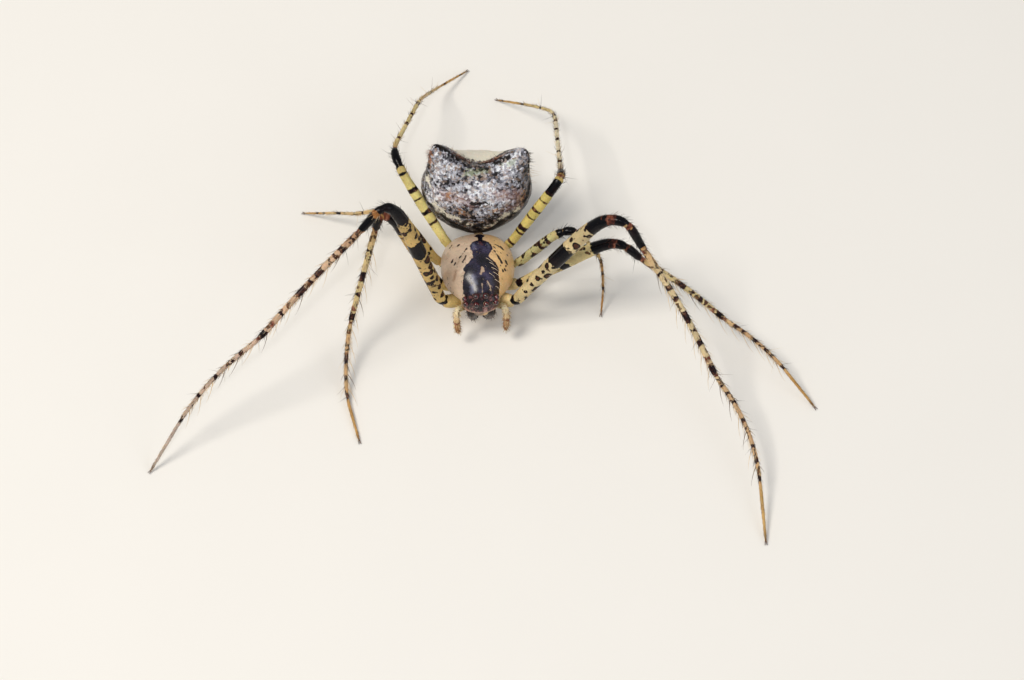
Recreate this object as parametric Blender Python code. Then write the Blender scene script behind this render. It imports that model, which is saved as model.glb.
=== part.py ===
# Pirate spider (family Mimetidae), a still model at the size of life, standing on its eight feet.
# The frame: the floor is at Z 0, the head looks along -Y, and the spider's left side is at +X.
# Sizes are millimetres of the living animal. Each piece is modelled in millimetres, because the
# Boolean tools suit pieces about one unit across, and the last step brings it to metres.

import bpy
import bmesh
from math import acos, asin, atan2, cos, exp, pi, radians, sin
from random import Random
from mathutils import Matrix, Vector
from mathutils.bvhtree import BVHTree

METRE = 0.001
GAP = 0.03             # left between pieces that touch
SECTION = 3            # bevel resolution of a limb's round section
MERGED = 0.0002        # points closer than this become one after a cut

# Body, measured from the middle of the carapace, on the floor
BODY = Vector((-0.129, 0.1086, 0.0))    # that middle, from the middle of the legs' footprint
HEAD_TURN = radians(4.5)             # the front body is turned a little to its left
MARGIN_Z = 1.08                      # height of the carapace's edge
THORAX_Y, THORAX_LENGTH, THORAX_WIDTH, THORAX_RISE = 0.22, 0.95, 0.89, 0.66
THORAX_FULLNESS = 2.3                # 2 would be an ellipse from above
BACK_Y, BACK_LENGTH, BACK_SLOPE = 0.05, 1.08, 1.35    # the dome's line from the side
HEAD_Y, HEAD_LENGTH, HEAD_WIDTH, HEAD_RISE = -0.50, 0.55, 0.47, 0.50
HEAD_FULLNESS = 4
RIM = 0.06                           # the carapace's overhang is this thick
CORE_WIDTH, CORE_DEPTH = 0.42, 0.34  # the body under the carapace, between the coxae
CORE_Y, CORE_LENGTH = 0.03, 1.08
BELOW_RIM = 0.3                      # share of the under side that the overhang takes
CORE_ROUNDNESS = 0.6                 # 1 would be half an ellipse from the front
STERNUM = ((0.0, 0.15, 0.70), (0.34, 0.62, 0.08))
LABIUM = ((0.0, -0.55, 0.72), (0.12, 0.13, 0.07))

ABDOMEN = Vector((-0.05, 2.01, 1.78))
ABDOMEN_SIZE = Vector((1.34, 0.92, 1.15))
SHOULDER_TAPER = 0.05                # how much wider it grows towards the top
BUMPS = (                            # direction, rise and spread of each swelling or hollow
    ((0.59, 0.20, 0.79), 0.59, 0.38),
    ((-0.46, 0.20, 0.86), 0.66, 0.40),
    ((0.0, 0.30, 0.95), -0.34, 0.36),
    ((0.04, 0.62, 0.78), -0.10, 0.40),
    ((0.0, -0.85, -0.50), 0.09, 0.60),
    ((0.0, 0.55, -0.83), 0.16, 0.45),
)
PEDICEL = ((0.0, 0.80, 0.92), (0.0, 1.55, 0.96), 0.13)
SPINNERETS = Vector((0.0, 2.52, 0.74))
SPINNERET_WAY = Vector((0.0, 0.45, -0.89)).normalized()
SPINNERET_BASE = ((-0.25, 0.17), (0.12, 0.14))       # start and end along that way, and half thickness
SPINNERET_LENGTH, SPINNERET_RADIUS = 0.30, 0.075
SPINNERET_TAPER, SPINNERET_SUNK = 0.55, 0.05
# Each pair: its shift backwards, its distance from the middle, and its length and thickness as shares
SPINNERET_PAIRS = ((-0.09, 0.090, 1.0, 1.0), (0.0, 0.054, 0.7, 0.7), (0.09, 0.090, 1.0, 0.9))

# Each eye: where it stands on the head, to the left of the middle, and its radius
EYES = {
    "front_middle": ((0.120, -1.000, 1.40), 0.070),
    "rear_middle": ((0.115, -0.860, 1.55), 0.068),
    "front_side": ((0.350, -0.930, 1.30), 0.062),
    "rear_side": ((0.370, -0.790, 1.40), 0.062),
}
EYE_SUNK = 0.35                      # of its radius

# Paths of the mouth parts, left side, with the half thickness at each point
CHELICERA = (
    ((0.21, -0.76, 1.14), 0.120),
    ((0.23, -0.90, 0.98), 0.140),
    ((0.22, -0.90, 0.78), 0.130),
    ((0.17, -0.83, 0.52), 0.090),
)
FANG = (
    ((0.17, -0.83, 0.54), 0.060),
    ((0.14, -0.78, 0.41), 0.045),
    ((0.08, -0.71, 0.34), 0.030),
    ((0.05, -0.65, 0.33), 0.020),
)
PALP = (
    ((0.22, -0.66, 0.74), 0.080),
    ((0.40, -0.75, 0.87), 0.075),
    ((0.52, -0.84, 0.99), 0.095),
    ((0.58, -0.94, 1.01), 0.105),
    ((0.60, -1.04, 0.90), 0.110),
    ((0.59, -1.11, 0.70), 0.120),
    ((0.58, -1.17, 0.52), 0.110),
    ((0.57, -1.21, 0.38), 0.060),
)

# Legs, front pair first. Lengths run from the trochanter: femur, patella, tibia, metatarsus, tarsus
COXA, FEMUR, PATELLA, TIBIA, METATARSUS, TARSUS = range(-1, 5)
LEG_LENGTHS = {
    1: (4.00, 0.90, 3.50, 2.70, 1.50),
    2: (3.00, 0.55, 2.55, 1.80, 1.20),
    3: (1.70, 0.40, 1.15, 1.00, 0.60),
    4: (2.35, 0.50, 2.05, 1.55, 1.05),
}
COXA_ROOTS = {
    1: (0.36, -0.435, 0.80),
    2: (0.36, -0.050, 0.80),
    3: (0.36, 0.345, 0.80),
    4: (0.36, 0.745, 0.82),
}
TROCHANTERS = {
    1: (0.87, -0.675, 0.92),
    2: (0.97, -0.165, 0.90),
    3: (0.95, 0.445, 0.88),
    4: (0.70, 0.915, 0.88),
}

# Each segment's swing is in degrees from straight ahead towards its own side, and its rise in
# degrees above the floor. The tarsus has only a swing: its rise is what puts the foot on the floor.
POSE = {
    ("left", 1): ((100, 47), (53, -59), (36, -33), (23, -15), 5),
    ("right", 1): ((109, 69), (57, -43), (50, -27), (54, -32), 41),
    ("left", 2): ((94, 31), (72, -51), (63, -26), (52, -13), 42),
    ("right", 2): ((106, 62), (46, -74), (25, -55), (3, -27), -15),
    ("left", 3): ((95, 52), (88, 21), (72, -59), (12, -68), -7),
    ("right", 3): ((129, 38), (121, -32), (119, -47), (114, -32), 110),
    ("left", 4): ((127, 46), (184, -51), (184, -13), (221, -41), 230),
    ("right", 4): ((141, 35), (163, -6), (199, -19), (203, -44), 224),
}
FEMUR_BOW = {("left", 1): 0.42, ("right", 1): 0.22, ("left", 2): 0.25, ("right", 2): 0.20}
TIBIA_BOW = {("left", 1): 0.10, ("right", 1): 0.05, ("left", 2): 0.08}
METATARSUS_BOW = {("left", 1): 0.20, ("right", 1): 0.13, ("left", 2): 0.08, ("right", 2): 0.10}
SHORT_LEG_BOW = 0.05
BOW_STEPS = 16
FOOT_Z = 0.05

# Half thicknesses of a limb with its coat of bristles, at the start and end of each segment
COXA_RADII = (0.165, 0.190)
SEGMENT_RADII = ((0.200, 0.220), (0.215, 0.225), (0.225, 0.205), (0.200, 0.175), (0.165, 0.070))
SLIMNESS = {1: 1.0, 2: 1.0, 3: 0.85, 4: 0.85}
FEMUR_FULL = 0.25                    # share of the femur's length at which it is at its stoutest
STEP, ROUNDING = 0.05, 0.30          # spacing of a leg's samples, and how far its bends are rounded
OVERLAP_STEPS = 1                    # each segment is made this much longer, then cut at its joint
TURN_KEPT, LENGTH_KEPT = radians(9), 0.6    # a solid keeps the samples that are this far apart

# The catching spines of the first two pairs, in rows along the front side of the tibia and
# metatarsus. They come in runs, in which each is longer than the last.
# Each row: the share of the segment where it starts and where it ends, and its number of spines
SPINE_ROWS = {
    1: {TIBIA: (0.28, 0.82, 7), METATARSUS: (0.16, 0.80, 7)},
    2: {TIBIA: (0.28, 0.80, 6), METATARSUS: (0.20, 0.80, 6)},
}
SPINE_REACH = (0.34, 0.42, 0.52)     # how far their tips stand from the leg's middle line, in turn
SPINE_LEAN = radians(42)             # their angle with the leg
SPINE_ROOT, SPINE_TIP, SPINE_SIDES = 0.075, 0.012, 6
SPINE_SUNK = 0.10                    # how deep the root lies under the surface
SPINE_SPREAD = 0.25                  # how far single spines lean up or down out of their row
SPINE_CHANGE = 0.10                  # how far single spines differ in length


def clear_scene():
    for item in list(bpy.data.objects):
        bpy.data.objects.remove(item, do_unlink=True)
    for group in list(bpy.data.collections):
        bpy.data.collections.remove(group)


def new_collection(name):
    group = bpy.data.collections.new(name)
    bpy.context.scene.collection.children.link(group)
    return group


def material(name, colour, roughness):
    finish = bpy.data.materials.new(name)
    finish.use_nodes = True
    shader = finish.node_tree.nodes["Principled BSDF"]
    shader.inputs["Base Color"].default_value = (*colour, 1.0)
    shader.inputs["Roughness"].default_value = roughness
    shader.inputs["Metallic"].default_value = 0.0
    return finish


def add_object(name, mesh, group):
    piece = bpy.data.objects.new(name, mesh)
    group.objects.link(piece)
    return piece


def mesh_from(bm, name):
    bmesh.ops.recalc_face_normals(bm, faces=bm.faces)
    mesh = bpy.data.meshes.new(name)
    bm.to_mesh(mesh)
    bm.free()
    return mesh


def evaluated_mesh(piece):
    graph = bpy.context.evaluated_depsgraph_get()
    return bpy.data.meshes.new_from_object(piece.evaluated_get(graph), depsgraph=graph)


def tube(name, points, radii):
    """A closed round tube through the points, as thick at each as its radius says."""
    curve = bpy.data.curves.new(name, "CURVE")
    curve.dimensions = "3D"
    curve.bevel_depth = 1.0
    curve.bevel_resolution = SECTION
    curve.use_fill_caps = True
    spline = curve.splines.new("POLY")
    spline.points.add(len(points) - 1)
    for place, point, radius in zip(spline.points, points, radii):
        place.co = (*point, 1.0)
        place.radius = radius
    guide = add_object(name, curve, WORK)
    mesh = evaluated_mesh(guide)
    bpy.data.objects.remove(guide, do_unlink=True)
    bm = bmesh.new()
    bm.from_mesh(mesh)
    bmesh.ops.remove_doubles(bm, verts=bm.verts, dist=MERGED)
    bpy.data.meshes.remove(mesh)
    return mesh_from(bm, name)


def shaped_ball(name, across, along, place):
    """A ball whose every point is moved to where place puts it."""
    bm = bmesh.new()
    bmesh.ops.create_uvsphere(bm, u_segments=across, v_segments=along, radius=1.0)
    for vert in bm.verts:
        vert.co = place(vert.co.copy())
    return mesh_from(bm, name)


def grown(mesh, by):
    """A copy of a closed mesh, with its surface moved out along its normals."""
    bm = bmesh.new()
    bm.from_mesh(mesh)
    bm.normal_update()
    moves = [vert.normal * by for vert in bm.verts]
    for vert, move in zip(bm.verts, moves):
        vert.co += move
    return mesh_from(bm, mesh.name + "_grown")


def boolean(mesh, other, operation):
    """The mesh joined with, or cut by, another."""
    target = add_object("target", mesh, WORK)
    tool = add_object("tool", other, WORK)
    change = target.modifiers.new("boolean", "BOOLEAN")
    change.operation = operation
    change.solver = "EXACT"
    change.object = tool
    result = evaluated_mesh(target)
    result.name = mesh.name
    for item in (target, tool):
        bpy.data.objects.remove(item, do_unlink=True)
    return largest_body(result)


def fused(mesh, others):
    """The mesh joined with several others in one Boolean."""
    joined = new_collection("joined")
    for other in others:
        add_object("other", other, joined)
    target = add_object("target", mesh, WORK)
    change = target.modifiers.new("boolean", "BOOLEAN")
    change.operation = "UNION"
    change.solver = "EXACT"
    change.operand_type = "COLLECTION"
    change.collection = joined
    result = evaluated_mesh(target)
    result.name = mesh.name
    for item in (target, *joined.objects):
        bpy.data.objects.remove(item, do_unlink=True)
    bpy.data.collections.remove(joined)
    return largest_body(result)


def largest_body(mesh):
    """The mesh without the loose scraps that a cut can leave."""
    bm = bmesh.new()
    bm.from_mesh(mesh)
    drop_scraps(bm)
    return mesh_from(bm, mesh.name)


def drop_scraps(bm):
    """Leaves the largest closed surface, in triangles."""
    bmesh.ops.remove_doubles(bm, verts=bm.verts, dist=MERGED)
    bmesh.ops.dissolve_degenerate(bm, edges=bm.edges, dist=MERGED)
    waiting, bodies = set(bm.verts), []
    while waiting:
        body, edge = set(), {waiting.pop()}
        while edge:
            body |= edge
            edge = {e.other_vert(v) for v in edge for e in v.link_edges} - body
        waiting -= body
        bodies.append(body)
    bodies.sort(key=len)
    for body in bodies[:-1]:
        bmesh.ops.delete(bm, geom=list(body), context="VERTS")
    bmesh.ops.triangulate(bm, faces=bm.faces)


def finish(name, mesh, paint, smooth=40):
    """The last step of a piece: it is named, coloured and brought to metres."""
    mesh.name = name
    mesh.transform(Matrix.Scale(METRE, 4))
    mesh.materials.clear()
    mesh.materials.append(paint)
    mesh.shade_smooth()
    mesh.set_sharp_from_angle(angle=radians(smooth))
    return add_object(name, mesh, SPIDER)


def front_place(point, side=1.0):
    """A point of the front body, given for its left side, in the model's frame."""
    x, y, z = point
    return Matrix.Rotation(HEAD_TURN, 4, "Z") @ Vector((side * x, y, z)) + BODY


# The front body: the carapace with its overhang, the body between the coxae, the sternum
def dome(y, middle, half, power):
    """1 at the middle, falling to 0 at half its length from there. 2 gives an ellipse."""
    return max(0.0, 1.0 - abs((y - middle) / half) ** power) ** 0.5


def blend(a, b):
    """About the larger of two measures, with a rounded change from one to the other."""
    return (a ** 6 + b ** 6) ** (1 / 6)


def front_body_point(ball):
    """The ball's poles lie at the face and the rear. Its upper half is the carapace's dome."""
    face, rear = HEAD_Y - HEAD_LENGTH, THORAX_Y + THORAX_LENGTH
    y = (face + rear) / 2 - ball.z * (rear - face) / 2
    head = dome(y, HEAD_Y, HEAD_LENGTH, HEAD_FULLNESS)
    width = blend(THORAX_WIDTH * dome(y, THORAX_Y, THORAX_LENGTH, THORAX_FULLNESS), HEAD_WIDTH * head)
    rise = blend(THORAX_RISE * dome(y, BACK_Y, BACK_LENGTH, 2) ** BACK_SLOPE, HEAD_RISE * head)
    angle = atan2(ball.y, ball.x)
    side = 1.0 if ball.x >= 0 else -1.0
    if angle >= 0:
        return front_place((width * cos(angle), y, MARGIN_Z + rise * sin(angle)))
    share = asin(min(1.0, -sin(angle))) / (pi / 2)
    core = min(width, CORE_WIDTH * dome(y, CORE_Y, CORE_LENGTH, HEAD_FULLNESS))
    if share < BELOW_RIM:
        inward = share / BELOW_RIM
        return front_place((side * (width + (core - width) * inward), y, MARGIN_Z - RIM * inward))
    turn = (share - BELOW_RIM) / (1 - BELOW_RIM) * pi / 2
    depth = CORE_DEPTH * dome(y, CORE_Y, CORE_LENGTH, HEAD_FULLNESS)
    return front_place((side * core * cos(turn) ** CORE_ROUNDNESS, y, MARGIN_Z - RIM - depth * sin(turn)))


def make_front_body():
    mesh = shaped_ball("prosoma", 28, 20, front_body_point)
    for middle, size in (STERNUM, LABIUM):
        plate = shaped_ball("plate", 16, 10, lambda ball: front_place(Vector(middle) + ball * Vector(size)))
        mesh = boolean(mesh, plate, "UNION")
    return mesh


def make_eyes(body, socket):
    """Eight simple eyes, each a dome that stands a little out of the head."""
    surface = bmesh.new()
    surface.from_mesh(body)
    tree = BVHTree.FromBMesh(surface)
    glass = material("eye", (0.10, 0.012, 0.012), 0.08)
    for name, (place, radius) in EYES.items():
        for side_name, side in (("left", 1.0), ("right", -1.0)):
            spot, normal, _, _ = tree.find_nearest(front_place(place, side))
            middle = spot + normal * radius * (1 - 2 * EYE_SUNK)
            ball = shaped_ball("eye", 14, 9, lambda p: middle + p * radius)
            finish(f"{side_name}_{name}_eye", boolean(ball, socket.copy(), "DIFFERENCE"), glass)
    surface.free()


# The mouth parts
def make_mouth_parts(socket):
    dark = material("chelicera", (0.05, 0.03, 0.03), 0.35)
    horn = material("fang", (0.09, 0.03, 0.015), 0.25)
    pale = material("pedipalp", (0.72, 0.50, 0.26), 0.40)
    for side_name, side in (("left", 1.0), ("right", -1.0)):
        jaw = limb("chelicera", CHELICERA, side)
        hollow = grown(jaw, GAP)
        jaw = boolean(jaw, socket.copy(), "DIFFERENCE")
        fang = boolean(limb("fang", FANG, side), hollow, "DIFFERENCE")
        palp = boolean(limb("pedipalp", PALP, side), socket.copy(), "DIFFERENCE")
        finish(f"{side_name}_chelicera", jaw, dark)
        finish(f"{side_name}_fang", fang, horn)
        finish(f"{side_name}_pedipalp", palp, pale)


def limb(name, stations, side):
    points = [front_place(place, side) for place, _ in stations]
    return tube(name, points, [radius for _, radius in stations])


# The rear body
def abdomen_point(ball):
    """An upright egg, wider at the shoulders, with two humps, a saddle between them, and a tail."""
    size = ABDOMEN_SIZE
    point = Vector((ball.x * size.x * (1 + SHOULDER_TAPER * ball.z), ball.y * size.y, ball.z * size.z))
    for direction, rise, spread in BUMPS:
        way = Vector(direction).normalized()
        apart = acos(max(-1.0, min(1.0, ball.normalized().dot(way))))
        point += way * rise * exp(-((apart / spread) ** 2))
    return BODY + ABDOMEN + point


def make_rear_body(front_socket):
    mottled = material("abdomen", (0.33, 0.29, 0.30), 0.65)
    abdomen = shaped_ball("abdomen", 36, 24, abdomen_point)
    abdomen_socket = grown(abdomen, GAP)
    start, end, radius = PEDICEL
    waist = tube("pedicel", [BODY + Vector(start), BODY + Vector(end)], [radius, radius])
    waist = boolean(waist, front_socket.copy(), "DIFFERENCE")
    waist = boolean(waist, abdomen_socket.copy(), "DIFFERENCE")
    spinnerets = make_spinnerets(abdomen_socket.copy())
    finish("pedicel", waist, material("pedicel", (0.40, 0.26, 0.16), 0.5))
    finish("spinnerets", spinnerets, material("spinneret", (0.30, 0.20, 0.13), 0.55))
    finish("abdomen", abdomen, mottled)
    return abdomen_socket


def make_spinnerets(abdomen_socket):
    """Three pairs of short tapered tubes on one base, under the tail."""
    root = BODY + SPINNERETS
    base = [root + SPINNERET_WAY * along for along, _ in SPINNERET_BASE]
    pairs = []
    for shift, aside, length, thickness in SPINNERET_PAIRS:
        radii = [SPINNERET_RADIUS * thickness * share for share in (1.0, SPINNERET_TAPER)]
        for side in (1.0, -1.0):
            foot = root + Vector((side * aside, shift, 0.0))
            ends = [foot - SPINNERET_WAY * SPINNERET_SUNK, foot + SPINNERET_WAY * SPINNERET_LENGTH * length]
            pairs.append(tube("spinneret", ends, radii))
    whole = fused(tube("spinnerets", base, [radius for _, radius in SPINNERET_BASE]), pairs)
    return boolean(whole, abdomen_socket, "DIFFERENCE")


# The legs
def direction(swing, rise, side):
    flat = cos(radians(rise))
    return Vector((side * sin(radians(swing)) * flat, -cos(radians(swing)) * flat, sin(radians(rise))))


def femur_arch(share):
    """It swells towards the knee and comes down steeply there."""
    return share ** 0.8 * (1 - share ** 14) / 0.8


def even_arch(share):
    return 4 * share * (1 - share)


def leg_joints(side_name, number):
    """Where each segment of a leg ends, from the coxa's root to the foot."""
    side = 1.0 if side_name == "left" else -1.0
    lengths, pose = LEG_LENGTHS[number], POSE[side_name, number]
    point = BODY + Vector((side * TROCHANTERS[number][0], *TROCHANTERS[number][1:]))
    joints = [front_place(COXA_ROOTS[number], side), point]
    for (swing, rise), length in zip(pose[:4], lengths):
        point = point + direction(swing, rise, side) * length
        joints.append(point)
    fall = asin((FOOT_Z - point.z) / lengths[4])
    joints.append(point + direction(pose[4], fall * 180 / pi, side) * lengths[4])
    return joints


def front_side(along, side):
    """The level direction out of a leg's front side: towards the head, on a leg held out sideways."""
    return Vector((side * along.y, -side * along.x, 0.0)).normalized()


def bowed(start, end, outward, bow, arch):
    """Points from start to end, bowed outward."""
    along = (end - start).normalized()
    outward = (outward - along * outward.dot(along)).normalized()
    for k in range(1, BOW_STEPS + 1):
        share = k / BOW_STEPS
        yield start.lerp(end, share) + outward * bow * arch(share), share


def half_thickness(number, segment, share):
    if segment == COXA:
        return COXA_RADII[0] + (COXA_RADII[1] - COXA_RADII[0]) * share
    start, end = SEGMENT_RADII[segment]
    if segment == FEMUR:
        share = min(1.0, share / FEMUR_FULL)
    return (start + (end - start) * share) * SLIMNESS[number]


def leg_line(side_name, number):
    """The leg's middle line with its bends rounded: a list of (point, segment, share of the segment)."""
    joints = leg_joints(side_name, number)
    key = (side_name, number)
    side = 1.0 if side_name == "left" else -1.0
    line = [(joints[0], COXA, 0.0)]
    for segment in (COXA, FEMUR, PATELLA, TIBIA, METATARSUS, TARSUS):
        start, end = joints[segment + 1], joints[segment + 2]
        if segment == FEMUR:
            bow = FEMUR_BOW.get(key, SHORT_LEG_BOW)
            stops = bowed(start, end, end - joints[TIBIA + 2], bow, femur_arch)
        elif segment == TIBIA and key in TIBIA_BOW:
            stops = bowed(start, end, -front_side(end - start, side), TIBIA_BOW[key], even_arch)
        elif segment == METATARSUS:
            bow = METATARSUS_BOW.get(key, SHORT_LEG_BOW)
            stops = bowed(start, end, end - joints[TARSUS + 2], bow, even_arch)
        else:
            stops = [(end, 1.0)]
        last = 0.0
        for stop, share in stops:
            steps = max(1, round((stop - start).length / STEP))
            for k in range(1, steps + 1):
                line.append((start.lerp(stop, k / steps), segment, last + (share - last) * k / steps))
            start, last = stop, share
    reach = round(ROUNDING / STEP)
    rounded = []
    for i, (_, segment, share) in enumerate(line):
        near = min(reach, i, len(line) - 1 - i)
        window = [line[j][0] for j in range(i - near, i + near + 1)]
        rounded.append((sum(window, Vector()) / len(window), segment, share))
    return rounded


def thinned(stretch):
    """The samples that a stretch of a leg needs: its ends, and one wherever it has turned enough."""
    kept = [0, 1]
    for i in range(2, len(stretch) - 1):
        before = stretch[kept[-1]][0] - stretch[kept[-1] - 1][0]
        now = stretch[i][0] - stretch[i - 1][0]
        gone = (stretch[i][0] - stretch[kept[-1]][0]).length
        if now.angle(before) > TURN_KEPT or gone > LENGTH_KEPT:
            kept.append(i)
    if len(stretch) - 2 > kept[-1]:
        kept.append(len(stretch) - 2)
    return [stretch[i] for i in kept + [len(stretch) - 1]]


def cut_flat(mesh, point, keep):
    """The mesh without what lies behind the point, seen along keep, and closed there by a flat face."""
    bm = bmesh.new()
    bm.from_mesh(mesh)
    cut = bmesh.ops.bisect_plane(bm, geom=[*bm.verts, *bm.edges, *bm.faces], plane_co=point,
                                 plane_no=keep, clear_inner=True, dist=0.00001)
    edges = [item for item in cut["geom_cut"] if isinstance(item, bmesh.types.BMEdge)]
    bmesh.ops.holes_fill(bm, edges=edges)
    drop_scraps(bm)
    return mesh_from(bm, mesh.name)


def leg_piece(number, line, segments):
    """One node of a leg: its line's stretch over these segments, half a gap short of each joint."""
    places = [i for i, sample in enumerate(line) if sample[1] in segments]
    first, last = max(0, places[0] - 1), places[-1]
    start, end = max(0, first - OVERLAP_STEPS), min(len(line) - 1, last + OVERLAP_STEPS)
    stops = thinned(line[start:end + 1])
    radii = [half_thickness(number, segment, share) for _, segment, share in stops]
    piece = tube("segment", [point for point, _, _ in stops], radii)
    for joint, beyond, way in ((first, start, 1), (last, end, -1)):
        if beyond != joint:
            keep = (line[joint + 1][0] - line[joint - 1][0]).normalized() * way
            piece = cut_flat(piece, line[joint][0] + keep * GAP / 2, keep)
    return piece


def spine(root, way, length):
    bm = bmesh.new()
    turn = way.to_track_quat("Z", "X").to_matrix().to_4x4()
    middle = Matrix.Translation(root + way * length / 2)
    bmesh.ops.create_cone(bm, cap_ends=True, segments=SPINE_SIDES, radius1=SPINE_ROOT, radius2=SPINE_TIP,
                          depth=length, matrix=middle @ turn)
    return mesh_from(bm, "spine")


def spine_row(line, side, number, segment, chance):
    """Cones along the front side of a segment, rooted well inside it."""
    start, end, count = SPINE_ROWS[number][segment]
    stretch = [i for i, sample in enumerate(line) if sample[1] == segment]
    for k in range(count):
        wanted = start + (end - start) * k / (count - 1)
        i = min(stretch, key=lambda j: abs(line[j][2] - wanted))
        point, _, share = line[i]
        along = (line[i + 1][0] - line[i - 1][0]).normalized()
        out = front_side(along, side)
        out = (out + Vector((0, 0, chance.uniform(-SPINE_SPREAD, SPINE_SPREAD)))).normalized()
        way = along * cos(SPINE_LEAN) + out * sin(SPINE_LEAN)
        reach = SPINE_REACH[k % len(SPINE_REACH)] * chance.uniform(1 - SPINE_CHANGE, 1 + SPINE_CHANGE)
        depth = (half_thickness(number, segment, share) - SPINE_SUNK) / sin(SPINE_LEAN)
        yield spine(point + way * depth, way, reach / sin(SPINE_LEAN) - depth)


def with_spines(mesh, line, side_name, number, segment):
    if number not in SPINE_ROWS:
        return mesh
    side = 1.0 if side_name == "left" else -1.0
    chance = Random(f"{side_name} {number} {segment}")
    return fused(mesh, spine_row(line, side, number, segment, chance))


def make_leg(side_name, number, front_socket, rear_socket):
    """A leg of four nodes. The last pair's femora pass close to the abdomen, and are cut clear of it."""
    line = leg_line(side_name, number)
    name = f"{side_name}_leg_{number}"
    amber = material(name + "_coxa", (0.62, 0.33, 0.10), 0.40)
    tan = material(name + "_femur", (0.55, 0.38, 0.16), 0.45)
    banded = material(name + "_tibia", (0.42, 0.27, 0.13), 0.45)
    fine = material(name + "_tarsus", (0.50, 0.34, 0.16), 0.50)
    coxa = boolean(leg_piece(number, line, (COXA,)), front_socket.copy(), "DIFFERENCE")
    femur = boolean(leg_piece(number, line, (FEMUR,)), front_socket.copy(), "DIFFERENCE")
    tibia = with_spines(leg_piece(number, line, (PATELLA, TIBIA)), line, side_name, number, TIBIA)
    tarsus = cut_flat(leg_piece(number, line, (METATARSUS, TARSUS)), (0, 0, 0), (0, 0, 1))
    tarsus = with_spines(tarsus, line, side_name, number, METATARSUS)
    if number == 4:
        femur = boolean(femur, rear_socket.copy(), "DIFFERENCE")
    finish(name + "_coxa", coxa, amber)
    finish(name + "_femur", femur, tan)
    finish(name + "_tibia", tibia, banded)
    finish(name + "_tarsus", tarsus, fine)


clear_scene()
SPIDER = new_collection("pirate_spider")
WORK = new_collection("work")
front_body = make_front_body()
front_socket = grown(front_body, GAP)
make_eyes(front_body, front_socket)
make_mouth_parts(front_socket)
rear_socket = make_rear_body(front_socket)
for leg_number in LEG_LENGTHS:
    for leg_side in ("left", "right"):
        make_leg(leg_side, leg_number, front_socket, rear_socket)
finish("prosoma", front_body, material("carapace", (0.66, 0.46, 0.33), 0.35))
bpy.data.collections.remove(WORK)
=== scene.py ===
# A pirate spider, as long as a grain of rice, dressed over its solids and set on a pale studio floor.
# Lengths in the dictionaries are millimetres of the living animal; addPiece brings each mesh to metres.

import math
import random
import bmesh
import bpy
import numpy as np
from mathutils import Matrix, Vector, noise
from mathutils.bvhtree import BVHTree


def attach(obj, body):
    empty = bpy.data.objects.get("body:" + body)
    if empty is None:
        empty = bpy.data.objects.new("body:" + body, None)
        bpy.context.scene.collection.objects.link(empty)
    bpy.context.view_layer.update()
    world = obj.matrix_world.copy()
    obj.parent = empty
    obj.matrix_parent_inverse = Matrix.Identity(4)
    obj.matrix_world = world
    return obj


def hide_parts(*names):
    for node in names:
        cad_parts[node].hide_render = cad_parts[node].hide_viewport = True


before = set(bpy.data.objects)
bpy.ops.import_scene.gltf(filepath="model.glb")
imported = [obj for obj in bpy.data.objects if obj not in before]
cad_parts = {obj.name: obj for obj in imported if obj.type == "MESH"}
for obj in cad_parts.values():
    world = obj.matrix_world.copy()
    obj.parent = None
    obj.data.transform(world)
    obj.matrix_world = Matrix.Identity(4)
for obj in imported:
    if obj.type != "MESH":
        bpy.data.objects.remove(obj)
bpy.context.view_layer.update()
metre = 0.001          # one modelling unit, a millimetre, in metres
sides = {"left": 1.0, "right": -1.0}

# The stance, as the solids have it: place of the carapace's middle, and how far the front body is turned
stance = {"place": (-0.129, 0.1086, 0.0), "headTurn": 4.5}
bodyPlace = Vector(stance["place"])
headTurn = Matrix.Rotation(math.radians(stance["headTurn"]), 4, "Z")


def frontPlace(point, side=1.0):
    x, y, z = point
    return headTurn @ Vector((side * x, y, z)) + bodyPlace


# The photograph looks down on the spider from in front of its head
camera = {
    "elevation": 60.0, "distance": 150.0, "aim": (0.81, -1.855, 1.2),
    "pixelsPerMm": 42.0, "frameWidth": 1024, "sensor": 36.0,
}


def makeCamera():
    eye = bpy.data.objects.new("camera", bpy.data.cameras.new("camera"))
    bpy.context.scene.collection.objects.link(eye)
    up = math.radians(camera["elevation"])
    aim = (bodyPlace + Vector(camera["aim"])) * metre
    eye.location = aim + Vector((0, -math.cos(up), math.sin(up))) * camera["distance"] * metre
    eye.rotation_euler = (math.pi / 2 - up, 0, 0)
    widthSeen = camera["frameWidth"] / camera["pixelsPerMm"]
    eye.data.sensor_fit = "HORIZONTAL"
    eye.data.sensor_width = camera["sensor"]
    eye.data.lens = camera["sensor"] * camera["distance"] / widthSeen
    eye.data.clip_start = 0.005
    eye.data.clip_end = 10.0
    bpy.context.scene.camera = eye


makeCamera()
print("camera set")


# Small tools

def linearColour(code):
    parts = [int(code[i:i + 2], 16) / 255 for i in (1, 3, 5)]
    return tuple(c / 12.92 if c <= 0.04045 else ((c + 0.055) / 1.055) ** 2.4 for c in parts) + (1.0,)


def perMm(count):      # so many repeats in a millimetre, as the scale of a texture that reads metres
    return count / metre


def setInputs(node, values):      # a socket is linked, and a colour code turned linear
    for name, value in values.items():
        if isinstance(value, bpy.types.NodeSocket):
            node.id_data.links.new(value, node.inputs[name])
        else:
            node.inputs[name].default_value = linearColour(value) if isinstance(value, str) else value


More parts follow.
